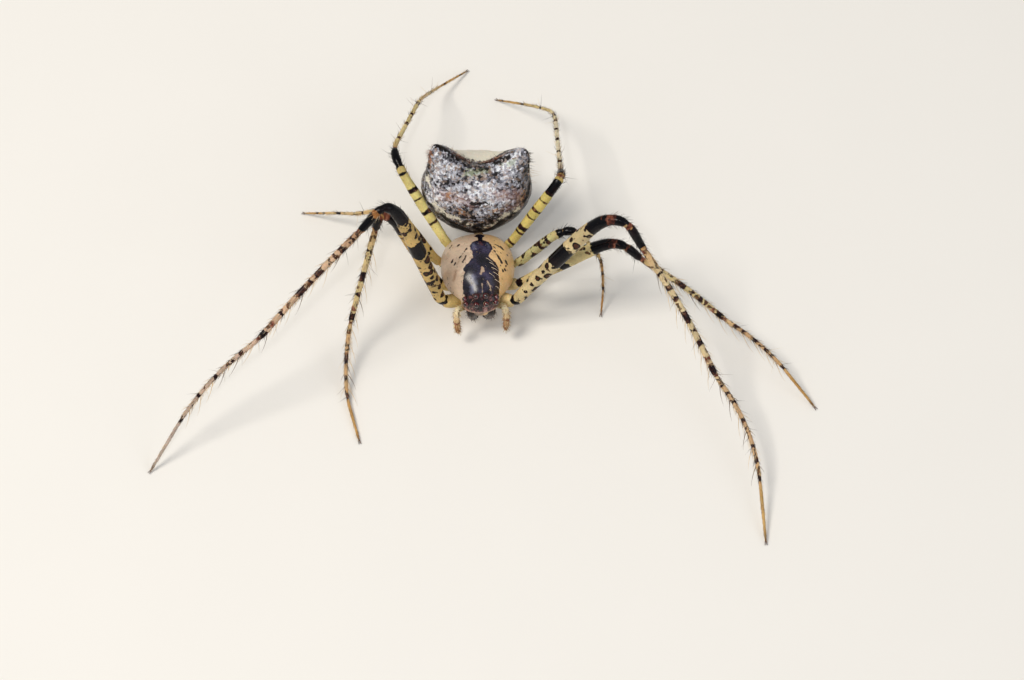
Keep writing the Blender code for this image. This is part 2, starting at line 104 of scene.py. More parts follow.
def addNode(tree, kind, inputs=None, out=0, stops=(), **settings):
    node = tree.nodes.new("ShaderNode" + kind)
    for name, value in settings.items():
        setattr(node, name, value)
    setInputs(node, inputs or {})
    for i, (place, colour) in enumerate(stops):      # a new colour ramp has two stops
        stop = node.color_ramp.elements[i] if i < 2 else node.color_ramp.elements.new(place)
        stop.position = place
        stop.color = linearColour(colour)
    return node.outputs[out]


def newMaterial(name, roughness, **sockets):
    material = bpy.data.materials.new(name)
    material.use_nodes = True
    tree = material.node_tree
    shader = tree.nodes["Principled BSDF"]
    shader.inputs["Roughness"].default_value = roughness
    setInputs(shader, {socket.replace("_", " "): value for socket, value in sockets.items()})
    return material, tree, shader, addNode(tree, "TexCoord", out="Object")


def readMarks(tree, names):
    return {name: addNode(tree, "Attribute", out="Fac", attribute_name=name) for name in names}


def lay(tree, skin, mark, edge, colour, low, high, share=1.0):      # a colour inside a mark, its edge torn
    torn = addNode(tree, "Math", {0: mark, 1: edge}, operation="ADD")
    mask = addNode(tree, "MapRange", {0: torn, 1: low, 2: high, 4: share})
    return addNode(tree, "Mix", {0: mask, 6: skin, 7: colour}, out=2, data_type="RGBA"), mask


def smoothStep(low, high, value):
    t = min(1.0, max(0.0, (value - low) / (high - low)))
    return t * t * (3 - 2 * t)


def profileAt(profile, share):
    for (low, a), (high, b) in zip(profile, profile[1:]):
        if share <= high:
            return a + (b - a) * smoothStep(low, high, share)
    return profile[-1][1]


def addPiece(name, mesh, material, replaced=()):
    mesh.transform(Matrix.Scale(metre, 4))
    mesh.shade_smooth()
    mesh.materials.append(material)
    piece = bpy.data.objects.new(name, mesh)
    bpy.context.scene.collection.objects.link(piece)
    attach(piece, "root")
    if replaced:
        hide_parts(*replaced)
    print("made", name, len(mesh.vertices), "points")
    return piece


def meshFrom(name, bm):
    bmesh.ops.recalc_face_normals(bm, faces=bm.faces)
    mesh = bpy.data.meshes.new(name)
    bm.to_mesh(mesh)
    bm.free()
    return mesh


def finishPiece(name, bm, material, replaced=()):
    return addPiece(name, meshFrom(name, bm), material, replaced)


farOutside = -0.3      # a mark's depth where it is nowhere near


# Marks on a body's skin: strokes from one place to another with half their width, as depth inside
# the nearest one. On the carapace places are x and y, on the abdomen directions from its middle.

def strokeReach(places, strokes, floor=-0.4):
    reach = np.full(len(places), floor)
    for start, end, half in strokes:
        start, along = np.array(start), np.array(end) - np.array(start)
        share = np.clip((places - start) @ along / max(along @ along, 1e-9), 0, 1)
        apart = np.linalg.norm(places - start - share[:, None] * along, axis=1)
        reach = np.maximum(reach, half - apart)
    return reach


def stampMarks(mesh, marks):
    for name, values in marks.items():
        layer = mesh.attributes.new(name, "FLOAT", "POINT")
        layer.data.foreach_set("value", np.asarray(values, np.float32))


def facesOf(mesh):
    count = len(mesh.polygons)
    middle, normal, area = np.empty(count * 3), np.empty(count * 3), np.empty(count)
    mesh.polygons.foreach_get("center", middle)
    mesh.polygons.foreach_get("normal", normal)
    mesh.polygons.foreach_get("area", area)
    return middle.reshape(-1, 3), normal.reshape(-1, 3), area


def unitRows(rows):
    return rows / np.maximum(np.linalg.norm(rows, axis=1, keepdims=True), 1e-9)


# A limb's skin: a grid rolled round a path, closed to a pole at both ends. Stamps are what each
# ring of points carries for the material.

def wrapLimb(bm, path, radii, around, stamps=None):
    count = len(path) - 1
    made = bmesh.ops.create_grid(bm, x_segments=count, y_segments=around, size=1.0)["verts"]
    tangents = [(path[min(i + 1, count)] - path[max(i - 1, 0)]).normalized() for i in range(count + 1)]
    sideways = tangents[0].cross(Vector((0, 0, 1))).normalized()
    frames = []
    for tangent in tangents:
        sideways = (sideways - tangent * sideways.dot(tangent)).normalized()
        frames.append((sideways.copy(), tangent.cross(sideways)))
    for vert in made:
        i = round((vert.co.x + 1) / 2 * count)
        turn = (vert.co.y + 1) * math.pi
        across, over = frames[i]
        vert.co = path[i] + (across * math.cos(turn) + over * math.sin(turn)) * radii[i]
        for layer, values in (stamps or {}).items():
            vert[layer] = values[i]
    bmesh.ops.remove_doubles(bm, verts=made, dist=0.0004)


def newStamps(bm, values):      # every layer is made before one is used, because a new one moves the others
    layers = bm.verts.layers
    kinds = {name: layers.float_color if name == "tint" else layers.float for name in values}
    for name, kind in kinds.items():
        kind.new(name)
    return {kinds[name][name]: rings for name, rings in values.items()}


def closeEnds(radii, rings=4):
    for k in range(rings):
        shrink = math.sqrt(1 - (1 - k / rings) ** 2)
        radii[k] *= shrink
        radii[-1 - k] *= shrink
    return radii


# Bristles: copies of one tapered, three-sided bristle, each bent along its own curve, joined into one piece
bristleShape = {"sides": 3, "rings": 4, "tip": 0.12, "patch": 0.003}


def bristleTemplate():
    bm = bmesh.new()
    bmesh.ops.create_cone(bm, cap_ends=True, segments=bristleShape["sides"], radius1=1.0,
                          radius2=bristleShape["tip"], depth=1.0, matrix=Matrix.Translation((0, 0, 0.5)))
    for k in range(1, bristleShape["rings"]):
        bmesh.ops.bisect_plane(bm, geom=[*bm.verts, *bm.edges, *bm.faces],
                               plane_co=(0, 0, k / bristleShape["rings"]), plane_no=(0, 0, 1))
    bmesh.ops.triangulate(bm, faces=bm.faces)
    bmesh.ops.recalc_face_normals(bm, faces=bm.faces)
    points = np.array([vert.co for vert in bm.verts])
    faces = np.array([[vert.index for vert in face.verts] for face in bm.faces])
    bm.free()
    return points, faces


def growBristles(name, bristles, material):
    # each: root, way, bend, length, thickness, colour, place on the skin's unwrap
    points, faces = bristleTemplate()
    root, way, bend, length, thickness, colour, place = (np.array(part, float) for part in zip(*bristles))
    helper = np.where(np.abs(way[:, 2:]) > 0.8, (1.0, 0.0, 0.0), (0.0, 0.0, 1.0))
    side = np.cross(way, helper)
    side /= np.linalg.norm(side, axis=1, keepdims=True)
    over = np.cross(way, side)
    along, length = points[None, :, 2, None], length[:, None, None]
    spots = root[:, None] + (way[:, None] * along + bend[:, None] * along ** 2) * length
    wide = points[None, :, 0, None] * side[:, None] + points[None, :, 1, None] * over[:, None]
    spots = spots + wide * thickness[:, None, None]
    count = len(points)
    allFaces = (faces[None] + np.arange(len(root))[:, None, None] * count).reshape(-1, 3)
    mesh = bpy.data.meshes.new(name)
    mesh.from_pydata(spots.reshape(-1, 3).tolist(), [], allFaces.tolist())
    tint = mesh.attributes.new("tint", "FLOAT_COLOR", "POINT")
    tint.data.foreach_set("color", np.repeat(colour, count, axis=0).astype(np.float32).ravel())
    unwrap = mesh.uv_layers.new(name="OFBake")
    spread = (points[:, [0, 2]] * (0.5, 1.0) - (0.0, 0.5)) * bristleShape["patch"]
    places = np.clip((place[:, None] + spread[None]).reshape(-1, 2), 0.001, 0.999)
    corners = np.empty(len(mesh.loops), np.int32)
    mesh.loops.foreach_get("vertex_index", corners)
    unwrap.data.foreach_set("uv", places[corners].astype(np.float32).ravel())
    return addPiece(name, mesh, material)


# Legs: the pose is the solids' own. Swing is from straight ahead to the leg's side, rise above the floor.
legs = {
    "lengths": {  # femur, patella, tibia, metatarsus, tarsus
        1: (4.00, 0.90, 3.50, 2.70, 1.50),
        2: (3.00, 0.55, 2.55, 1.80, 1.20),
        3: (1.70, 0.40, 1.15, 1.00, 0.60),
        4: (2.35, 0.50, 2.05, 1.55, 1.05),
    },
    "coxaRoots": {
        1: (0.36, -0.435, 0.80), 2: (0.36, -0.050, 0.80), 3: (0.36, 0.345, 0.80), 4: (0.36, 0.745, 0.82),
    },
    "trochanters": {
        1: (0.87, -0.675, 0.92), 2: (0.97, -0.165, 0.90), 3: (0.95, 0.445, 0.88), 4: (0.70, 0.915, 0.88),
    },
    "pose": {
        ("left", 1): ((100, 47), (53, -59), (36, -33), (23, -15), 5),
        ("right", 1): ((109, 69), (57, -43), (50, -27), (54, -32), 41),
        ("left", 2): ((94, 31), (72, -51), (63, -26), (52, -13), 42),
        ("right", 2): ((106, 62), (46, -74), (25, -55), (3, -27), -15),
        ("left", 3): ((95, 52), (88, 21), (72, -59), (12, -68), -7),
        ("right", 3): ((129, 38), (121, -32), (119, -47), (114, -32), 110),
        ("left", 4): ((127, 46), (184, -51), (184, -13), (221, -41), 230),
        ("right", 4): ((141, 35), (163, -6), (199, -19), (203, -44), 224),
    },
    "femurBow": {("left", 1): 0.42, ("right", 1): 0.22, ("left", 2): 0.25, ("right", 2): 0.20},
    "tibiaBow": {("left", 1): 0.10, ("right", 1): 0.05, ("left", 2): 0.08},
    "metatarsusBow": {("left", 1): 0.20, ("right", 1): 0.13, ("left", 2): 0.08, ("right", 2): 0.10},
    "shortBow": 0.05,
    "footHeight": 0.05,
    "step": 0.03,
    "rounding": 0.30,
    # half thickness at places along each segment
    "coxa": ((0.0, 0.13), (0.5, 0.17), (0.8, 0.16), (1.0, 0.14)),
    "femur": (
        (0.0, 0.130), (0.08, 0.148), (0.30, 0.176), (0.50, 0.190), (0.68, 0.184), (0.84, 0.156),
        (0.95, 0.126), (1.0, 0.102),
    ),
    "patella": ((0.0, 0.096), (0.35, 0.108), (0.8, 0.098), (1.0, 0.080)),
    "tibia": ((0.0, 0.076), (0.10, 0.085), (0.5, 0.074), (0.88, 0.072), (0.95, 0.076), (1.0, 0.058)),
    "metatarsus": ((0.0, 0.052), (0.1, 0.058), (0.6, 0.048), (0.96, 0.046), (1.0, 0.040)),
    "tarsus": ((0.0, 0.037), (0.3, 0.040), (0.85, 0.030), (1.0, 0.021)),
    "around": 40,
    # how slim each pair is, and how thick the far end of the femur and the patella stay all the same
    "slimness": {1: 1.0, 2: 0.90, 3: 0.64, 4: 0.68}, "leastFemur": 0.110, "leastPatella": 0.98,
    "jointPinch": 0.14,      # how much the cuticle draws in at each joint
    "pinchLength": 0.045,
    "coxaLength": 0.56,
}
segmentNames = ("coxa", "femur", "patella", "tibia", "metatarsus", "tarsus")


def direction(swing, rise, side):
    swing, rise = math.radians(swing), math.radians(rise)
    flat = math.cos(rise)
    return Vector((side * math.sin(swing) * flat, -math.cos(swing) * flat, math.sin(rise)))


def legJoints(key):
    side, number = sides[key[0]], key[1]
    lengths, pose = legs["lengths"][number], legs["pose"][key]
    x, y, z = legs["trochanters"][number]
    point = bodyPlace + Vector((side * x, y, z))
    joints = [frontPlace(legs["coxaRoots"][number], side), point]
    for (swing, rise), length in zip(pose[:4], lengths):
        point = point + direction(swing, rise, side) * length
        joints.append(point)
    fall = math.degrees(math.asin((legs["footHeight"] - point.z) / lengths[4]))
    joints.append(point + direction(pose[4], fall, side) * lengths[4])
    return joints


def frontSide(along, side):     # the level direction out of a leg's front side
    return Vector((side * along.y, -side * along.x, 0.0)).normalized()


def bowStops(start, end, outward, bow, arch):
    along = (end - start).normalized()
    outward = (outward - along * outward.dot(along)).normalized()
    shares = [k / 16 for k in range(1, 17)]
    return [(start.lerp(end, share) + outward * bow * arch(share), share) for share in shares]


def legLine(key):      # points along a leg's middle, each with its segment and share of that segment
    joints = legJoints(key)
    line = [(joints[0], 0, 0.0)]
    for segment in range(6):
        start, end = joints[segment], joints[segment + 1]
        stops = [(end, 1.0)]
        if segment == 1:
            bow = legs["femurBow"].get(key, legs["shortBow"])
            stops = bowStops(start, end, end - joints[4], bow, lambda t: t ** 0.8 * (1 - t ** 14) / 0.8)
        if segment == 3 and key in legs["tibiaBow"]:
            outward = -frontSide(end - start, sides[key[0]])
            stops = bowStops(start, end, outward, legs["tibiaBow"][key], lambda t: 4 * t * (1 - t))
        if segment == 4:
            bow = legs["metatarsusBow"].get(key, legs["shortBow"])
            stops = bowStops(start, end, end - joints[6], bow, lambda t: 4 * t * (1 - t))
        last = 0.0
        for stop, share in stops:
            steps = max(1, round((stop - start).length / legs["step"]))
            line += [(start.lerp(stop, k / steps), segment, last + (share - last) * k / steps)
                     for k in range(1, steps + 1)]
            start, last = stop, share
    reach = round(legs["rounding"] / legs["step"])
    rounded = []
    for i, (_, segment, share) in enumerate(line):
        near = min(reach, i, len(line) - 1 - i)
        window = [line[j][0] for j in range(i - near, i + near + 1)]
        rounded.append((sum(window, Vector()) / len(window), segment, share))
    return rounded


def legRadii(line, number):
    lengths = (legs["coxaLength"],) + legs["lengths"][number]
    radii = []
    for _, segment, share in line:
        full = profileAt(legs[segmentNames[segment]], share)
        radius = full * legs["slimness"][number]
        if segment == 1:      # thin femurs keep thick knees
            radius = max(radius, min(full, legs["leastFemur"]))
        if segment == 2:
            radius = full * max(legs["slimness"][number], legs["leastPatella"])
        fromJoint = min(share, 1 - share) * lengths[segment]
        pinch = legs["jointPinch"] * math.exp(-(fromJoint / legs["pinchLength"]) ** 2)
        radii.append(radius * (1 - pinch))
    return closeEnds(radii)


legLines = {(sideName, number): legLine((sideName, number)) for number in (1, 2, 3, 4) for sideName in sides}

# The legs' colours, from the coxa to the tarsus and its tip, and their marks: the share of the segment
# where one lies, and half its width. Segments: 1 femur, 2 patella, 3 tibia, 4 metatarsus, 5 tarsus.
legColours = {
    ("left", 1): ("#d6bd86", "#d2be90", "#b98248", "#dcc79c", "#cda980", "#bf9a5e", "#6b4420"),
    ("right", 1): ("#d3b878", "#cbab6c", "#a5703f", "#cfae90", "#c0a896", "#b8a89c", "#756258"),
    ("left", 2): ("#d6bd86", "#d6c38c", "#b98248", "#dbc692", "#cba57a", "#b98f52", "#6b4420"),
    ("right", 2): ("#d3b878", "#cba55c", "#b47a44", "#d6c08c", "#d0ab7c", "#c09659", "#6b4420"),
    ("left", 3): ("#cbb87c", "#c6bf8a", "#a98250", "#c2aa74", "#b88f58", "#a8783c", "#5b351a"),
    ("right", 3): ("#d0b478", "#d2b26a", "#a56b32", "#ccae7a", "#ccb080", "#c09558", "#6b3a1a"),
    ("left", 4): ("#cfb56e", "#decb78", "#7d5530", "#ddd2b6", "#cdb87c", "#bf9658", "#6b4420"),
    ("right", 4): ("#cfb56e", "#e2d388", "#7d5530", "#d2c088", "#cdb07c", "#bf9658", "#6b4420"),
}
blackMarks = {
    ("left", 1): {
        1: ((0.02, 0.08), (0.49, 0.31), (0.825, 0.22), (0.895, 0.04), (0.975, 0.10)), 2: ((0.52, 0.33),),
        3: ((0.19, 0.05), (0.31, 0.07), (0.39, 0.05), (0.54, 0.16), (0.64, 0.05), (0.74, 0.09),
            (0.945, 0.13)),
        4: ((0.09, 0.04), (0.17, 0.05), (0.27, 0.06), (0.35, 0.04), (0.44, 0.05), (0.52, 0.05), (0.69, 0.05),
            (0.83, 0.05), (0.99, 0.08)),
    },
    ("right", 1): {
        1: ((0.02, 0.10), (0.535, 0.25), (0.90, 0.42)), 2: ((0.07, 0.12), (0.62, 0.25)),
        3: ((0.06, 0.05), (0.16, 0.08), (0.23, 0.04), (0.39, 0.13), (0.47, 0.05), (0.56, 0.14), (0.76, 0.05),
            (0.95, 0.12)),
        4: ((0.19, 0.06), (0.29, 0.05), (0.50, 0.07), (0.73, 0.06), (1.0, 0.06)),
    },
    ("left", 2): {
        1: ((0.03, 0.07), (0.46, 0.10), (0.81, 0.22), (0.90, 0.03), (0.975, 0.08)), 2: ((0.50, 0.22),),
        3: ((0.22, 0.05), (0.47, 0.11), (0.59, 0.04), (0.69, 0.06), (0.75, 0.03), (0.925, 0.12)),
        4: ((0.16, 0.05), (0.28, 0.04), (0.47, 0.08), (0.66, 0.04), (0.78, 0.04), (0.99, 0.07)),
    },
    ("right", 2): {
        1: ((0.03, 0.08), (0.45, 0.16), (0.82, 0.34)), 2: ((0.50, 0.20),),
        3: ((0.22, 0.06), (0.29, 0.04), (0.49, 0.14), (0.69, 0.06), (0.93, 0.12)),
        4: ((0.31, 0.04), (0.50, 0.12), (0.75, 0.04), (0.99, 0.08)),
    },
    ("left", 3): {
        1: ((0.41, 0.03), (0.59, 0.05), (0.75, 0.05), (0.99, 0.09)), 2: ((0.50, 0.16),),
        3: ((0.25, 0.03), (0.55, 0.04), (0.85, 0.05)), 4: ((0.06, 0.05), (0.50, 0.05), (0.94, 0.05)),
    },
    ("right", 3): {
        1: ((0.50, 0.04), (0.95, 0.07)), 2: ((0.50, 0.15),), 3: ((0.30, 0.04), (0.70, 0.04)),
        4: ((0.56, 0.08), (0.99, 0.04)), 5: ((0.33, 0.04),),
    },
    ("left", 4): {
        1: ((0.08, 0.035), (0.23, 0.03), (0.29, 0.06), (0.44, 0.02), (0.54, 0.035), (0.67, 0.02),
            (0.85, 0.22)),
        2: ((0.50, 0.16),),
        3: ((0.17, 0.04), (0.34, 0.04), (0.54, 0.05), (0.71, 0.04), (0.85, 0.03), (0.96, 0.06)),
        4: ((0.47, 0.05), (0.99, 0.06)), 5: ((0.76, 0.04),),
    },
    ("right", 4): {
        1: ((0.31, 0.03), (0.44, 0.06), (0.60, 0.02), (0.71, 0.06), (0.90, 0.025), (1.0, 0.08)),
        2: ((0.50, 0.27),), 3: ((0.20, 0.04), (0.49, 0.05), (0.68, 0.04), (0.90, 0.06)),
        4: ((0.62, 0.05),), 5: ((0.19, 0.03), (0.76, 0.04)),
    },
}
rustMarks = {    # reddish brown, between the femur's black end bands and at the ends of patella and tibia
    1: {1: ((0.905, 0.30),), 2: ((0.06, 0.07), (0.98, 0.05)), 3: ((0.01, 0.04), (0.86, 0.05), (0.995, 0.05))},
    2: {1: ((0.905, 0.26),), 2: ((0.06, 0.06), (0.98, 0.04)), 3: ((0.01, 0.04), (0.85, 0.04), (0.995, 0.04))},
    3: {2: ((0.98, 0.05),)},
    4: {2: ((0.02, 0.05), (0.98, 0.05)), 3: ((0.995, 0.04),)},
}
spotLevels = {1: (0.03, 0.0, 0.09, 0.07, -0.05), 2: (0.03, 0.0, 0.09, 0.07, -0.05),
              3: (0.04, 0.0, 0.03, 0.03, -0.1), 4: (-0.3, -0.1, 0.0, 0.0, -0.1)}     # femur to tarsus
tornEdges = {1: 1.0, 2: 1.0, 3: 0.6, 4: 0.3}        # how ragged the bands' edges are
bandBrown = {1: 0.0, 2: 0.0, 3: 0.75, 4: 0.8}       # how brown the black of the femur's bands is
spotGrowth = 1.42
# Round spots of a femur, black with a brown middle: share of the femur, turn from its front side, radius
femurSpots = {
    ("left", 1): (
        (0.746, 0.11, 0.050), (0.755, 1.24, 0.026), (0.635, 0.41, 0.075), (0.637, 1.53, 0.038),
        (0.600, -0.55, 0.060), (0.728, 0.71, 0.016), (0.661, -0.60, 0.020), (0.385, 1.28, 0.055),
        (0.404, 0.56, 0.022), (0.329, -0.02, 0.080), (0.334, 1.05, 0.040), (0.293, 0.47, 0.030),
        (0.213, -0.50, 0.060), (0.275, 0.96, 0.050), (0.263, -0.55, 0.030), (0.197, -0.30, 0.070),
        (0.211, 0.85, 0.035), (0.141, 0.83, 0.035), (0.090, -0.35, 0.050), (0.105, 0.10, 0.022),
        (0.170, 0.06, 0.020), (0.06, 0.5, 0.022), (0.70, 2.3, 0.05), (0.61, 2.8, 0.06), (0.33, 2.4, 0.06),
        (0.2, 2.1, 0.05), (0.27, 3.6, 0.07), (0.70, 3.9, 0.05), (0.14, 3.1, 0.05), (0.36, -1.4, 0.06),
        (0.24, -1.6, 0.05), (0.64, -1.6, 0.07),
    ),
    ("right", 1): (
        (0.719, 0.12, 0.055), (0.733, 0.72, 0.025), (0.790, 0.82, 0.030), (0.760, 1.46, 0.035),
        (0.736, 1.14, 0.040), (0.391, 0.00, 0.024), (0.333, 0.55, 0.065), (0.330, 1.18, 0.060),
        (0.287, 1.01, 0.040), (0.237, -0.44, 0.060), (0.235, 0.37, 0.062), (0.245, 0.90, 0.045),
        (0.149, 0.31, 0.045), (0.154, -0.60, 0.045), (0.111, -0.60, 0.035), (0.078, -0.04, 0.035),
        (0.298, -0.60, 0.040), (0.200, -0.60, 0.040), (0.165, 1.48, 0.025), (0.70, 2.3, 0.06),
        (0.62, 1.9, 0.05), (0.42, 2.6, 0.07), (0.30, 2.2, 0.06), (0.2, 2.7, 0.05), (0.36, 3.5, 0.07),
        (0.66, 3.4, 0.07), (0.38, -1.6, 0.06), (0.25, -1.7, 0.07), (0.14, -1.9, 0.05), (0.70, -1.4, 0.07),
        (0.43, 1.7, 0.09), (0.37, 1.75, 0.07), (0.24, 1.85, 0.06), (0.17, 1.7, 0.05), (0.10, 1.6, 0.055),
        (0.66, 1.6, 0.05),
    ),
}
otherSpots = {2: 24, 3: 18, 4: 0}     # as many on the femurs of the other legs, strewn


def markReach(marks, number, segment, share):      # depth inside the nearest mark, negative outside it
    lengths = (legs["coxaLength"],) + legs["lengths"][number]
    starts = [sum(lengths[:k]) for k in range(6)]
    here = starts[segment] + share * lengths[segment]
    reaches = [half - abs(here - starts[k] - place * lengths[k])
               for k, places in marks.items() for place, half in places]
    return max([farOutside, *reaches])


def legTint(key, segment, share):
    colours = [linearColour(code) for code in legColours[key]]
    a, b = colours[segment], colours[segment + 1]
    change = smoothStep(0.75, 1.0, share) * (1.0 if segment == 5 else 0.5)
    if segment > 0 and share < 0.25:
        a, b = colours[segment], colours[segment - 1]
        change = 0.5 - 0.5 * smoothStep(0.0, 0.25, share)
    return tuple(p + (q - p) * change for p, q in zip(a, b))


def makeLegCuticle():
    # Spider cuticle, thin and hard with a waxy gloss: pale parts look a little translucent, black ones
    # enamelled
    material, tree, shader, here = newMaterial(
        "legCuticle", 0.4, Coat_Weight=0.07, Coat_Roughness=0.12, Specular_IOR_Level=0.13,
        Subsurface_Weight=0.12, Subsurface_Scale=0.00012)
    tint = addNode(tree, "Attribute", attribute_name="tint")
    marks = readMarks(tree, ("black", "rust", "spots", "torn", "brown", "round"))
    ragged, clouds, grain = (
        addNode(tree, "TexNoise", {"Vector": here, "Scale": perMm(count), "Detail": detail})
        for count, detail in ((8, 3.0), (2.5, 2.0), (28, 2.0)))
    # pale ground, a little warmer and darker in clouds and grains
    change = addNode(tree, "MapRange", {0: clouds, 1: 0.35, 2: 0.65, 3: 1.12, 4: 0.80})
    fine = addNode(tree, "MapRange", {0: grain, 1: 0.3, 2: 0.7, 3: 0.86, 4: 1.1})
    shade = addNode(tree, "Math", {0: change, 1: fine}, operation="MULTIPLY")
    skin = addNode(tree, "VectorMath", {0: tint, "Scale": shade}, operation="SCALE")
    tear = addNode(tree, "MapRange", {0: ragged, 1: 0.3, 2: 0.7, 3: -0.060, 4: 0.060})
    tear = addNode(tree, "Math", {0: tear, 1: marks["torn"]}, operation="MULTIPLY")
    littleTear = addNode(tree, "Math", {0: tear, 1: 0.38}, operation="MULTIPLY")
    # blotches: brown with black outlines, strewn ones and the femur's round ones
    blots = addNode(tree, "TexNoise", {"Vector": here, "Scale": perMm(6.5), "Detail": 1.5, "Distortion": 0.6})
    skin, _ = lay(tree, skin, blots, marks["spots"], "#241713", 0.66, 0.69, 0.9)
    skin, _ = lay(tree, skin, blots, marks["spots"], "#70482a", 0.74, 0.78, 0.9)
    skin, _ = lay(tree, skin, marks["round"], littleTear, "#1c1210", -0.006, 0.008)
    skin, _ = lay(tree, skin, marks["round"], littleTear, "#54301a", 0.034, 0.056, 0.7)
    # rust and black bands with ragged edges; on the outer segments the black is browner and broken
    rust = addNode(tree, "ValToRGB", {"Fac": ragged}, stops=(
        (0.36, "#140b0c"), (0.46, "#431d17"), (0.56, "#76402e"), (0.70, "#b58068")))
    skin, _ = lay(tree, skin, marks["rust"], tear, rust, -0.02, 0.03)
    blue = addNode(tree, "ValToRGB", {"Fac": clouds}, stops=(
        (0.35, "#04050a"), (0.52, "#09070c"), (0.66, "#170c10")))
    brown = addNode(tree, "ValToRGB", {"Fac": ragged}, stops=(
        (0.38, "#120b0e"), (0.52, "#2c1819"), (0.62, "#543529"), (0.70, "#8f6848")))
    dark = addNode(tree, "Mix", {0: marks["brown"], 6: blue, 7: brown}, out=2, data_type="RGBA")
    skin, blackMask = lay(tree, skin, marks["black"], tear, dark, -0.008, 0.012)
    rough = addNode(tree, "MapRange", {0: blackMask, 3: 0.46, 4: 0.24})
    rough = addNode(tree, "Math", {0: rough, 1: fine}, operation="MULTIPLY")
    bump = addNode(tree, "Bump", {"Height": grain, "Strength": 0.35, "Distance": 0.006 * metre})
    setInputs(shader, {"Base Color": skin, "Roughness": rough, "Normal": bump})
    return material


def makeBristleHorn():
    # Bare horn, as thin as a tenth of a hair, so it takes the colour of the skin that it stands on
    material, tree, shader, here = newMaterial("bristleHorn", 0.5, Specular_IOR_Level=0.12)
    tint = addNode(tree, "Attribute", attribute_name="tint")
    uneven = addNode(tree, "TexNoise", {"Vector": here, "Scale": perMm(12), "Detail": 1.0})
    shade = addNode(tree, "MapRange", {0: uneven, 1: 0.3, 2: 0.7, 3: 0.8, 4: 1.25})
    colour = addNode(tree, "VectorMath", {0: tint, "Scale": shade}, operation="SCALE")
    setInputs(shader, {"Base Color": colour})
    return material


legCuticle = makeLegCuticle()
bristleHorn = makeBristleHorn()


def spotReach(key, line, points, rings):
    side, number = sides[key[0]], key[1]
    chance = random.Random(f"spots {key}")
    spots = femurSpots.get(key) or [(chance.uniform(0.06, 0.74), chance.uniform(0, 2 * math.pi),
                                     chance.uniform(0.018, 0.060)) for _ in range(otherSpots[number])]
    middles = np.array([point for point, _, _ in line])
    along = unitRows(np.gradient(middles, axis=0))
    front = unitRows(np.stack([side * along[:, 1], -side * along[:, 0], 0 * along[:, 0]], axis=1))
    over = np.cross(front, along) * side
    out = points - middles[rings]
    turn = np.arctan2((out * over[rings]).sum(axis=1), (out * front[rings]).sum(axis=1))
    thickness = np.linalg.norm(out, axis=1)
    share = np.array([s if segment == 1 else 9.0 for _, segment, s in line])[rings]
    reach = np.full(len(points), farOutside)
    for place, angle, radius in spots:
        around = (turn - angle + math.pi) % (2 * math.pi) - math.pi
        apart = np.hypot((share - place) * legs["lengths"][number][0], around * thickness)
        reach = np.maximum(reach, radius * spotGrowth - apart)
    return reach


def makeLegSkin(key, name, line, radii):
    number = key[1]
    levels = (farOutside,) + spotLevels[number]
    bm = bmesh.new()
    wrapLimb(bm, [point for point, _, _ in line], radii, legs["around"], newStamps(bm, {
        "tint": [legTint(key, segment, share) for _, segment, share in line],
        "black": [markReach(blackMarks[key], number, segment, share) for _, segment, share in line],
        "rust": [markReach(rustMarks[number], number, segment, share) for _, segment, share in line],
        "spots": [levels[segment] for _, segment, _ in line],
        "torn": [tornEdges[number]] * len(line),
        "brown": [max(smoothStep(2.9, 3.2, segment + share), bandBrown[number] * (segment + share < 1.8))
                  for _, segment, share in line],
        "ring": list(range(len(line))),
    }))
    ringLayer = bm.verts.layers.float["ring"]
    rings = np.array([round(vert[ringLayer]) for vert in bm.verts])
    mesh = meshFrom(name, bm)
    points = np.array([vert.co for vert in mesh.vertices])
    stampMarks(mesh, {"round": spotReach(key, line, points, rings)})
    nodes = [f"{key[0]}_leg_{number}_{part}" for part in ("coxa", "femur", "tibia", "tarsus")]
    addPiece(name, mesh, legCuticle, nodes)


# Bristles of a leg: on each segment, how many to a millimetre, their length and how far they stand off
legCoat = {
    "perMm": (0, 80, 120, 105, 110, 150),
    "length": ((0.05, 0.08), (0.06, 0.13), (0.08, 0.20), (0.09, 0.19), (0.08, 0.16), (0.05, 0.10)),
    "lean": (30, 28, 40, 32, 30, 26),
    "thickness": 0.0048, "bend": -0.12,
    "longShare": 0.035, "longLength": (0.26, 0.42), "longLean": 62,
    "sunk": 0.01,
    "darkHair": "#110b09", "rustHair": "#5d3218", "paleHair": "#dcc7a0", "brownHair": "#5a3d22",
    "brownShare": 0.35,
}
# The catching spines: on tibia and metatarsus of the first two pairs, where the row starts and
# ends, how many long ones, and how many ever longer short ones lead up to each of them
spineRows = {
    1: {3: (0.20, 0.93, 7, 4), 4: (0.07, 0.88, 6, 6)},
    2: {3: (0.22, 0.92, 5, 4), 4: (0.08, 0.88, 5, 5)},
}
spineShape = {
    "long": 0.56, "short": (0.12, 0.28), "thickness": 0.0108, "shortThickness": 0.007,
    "lean": 36, "bend": -0.20,
    "pale": "#d8bd94", "dark": "#5a3a22", "darkShare": 0.25,
}


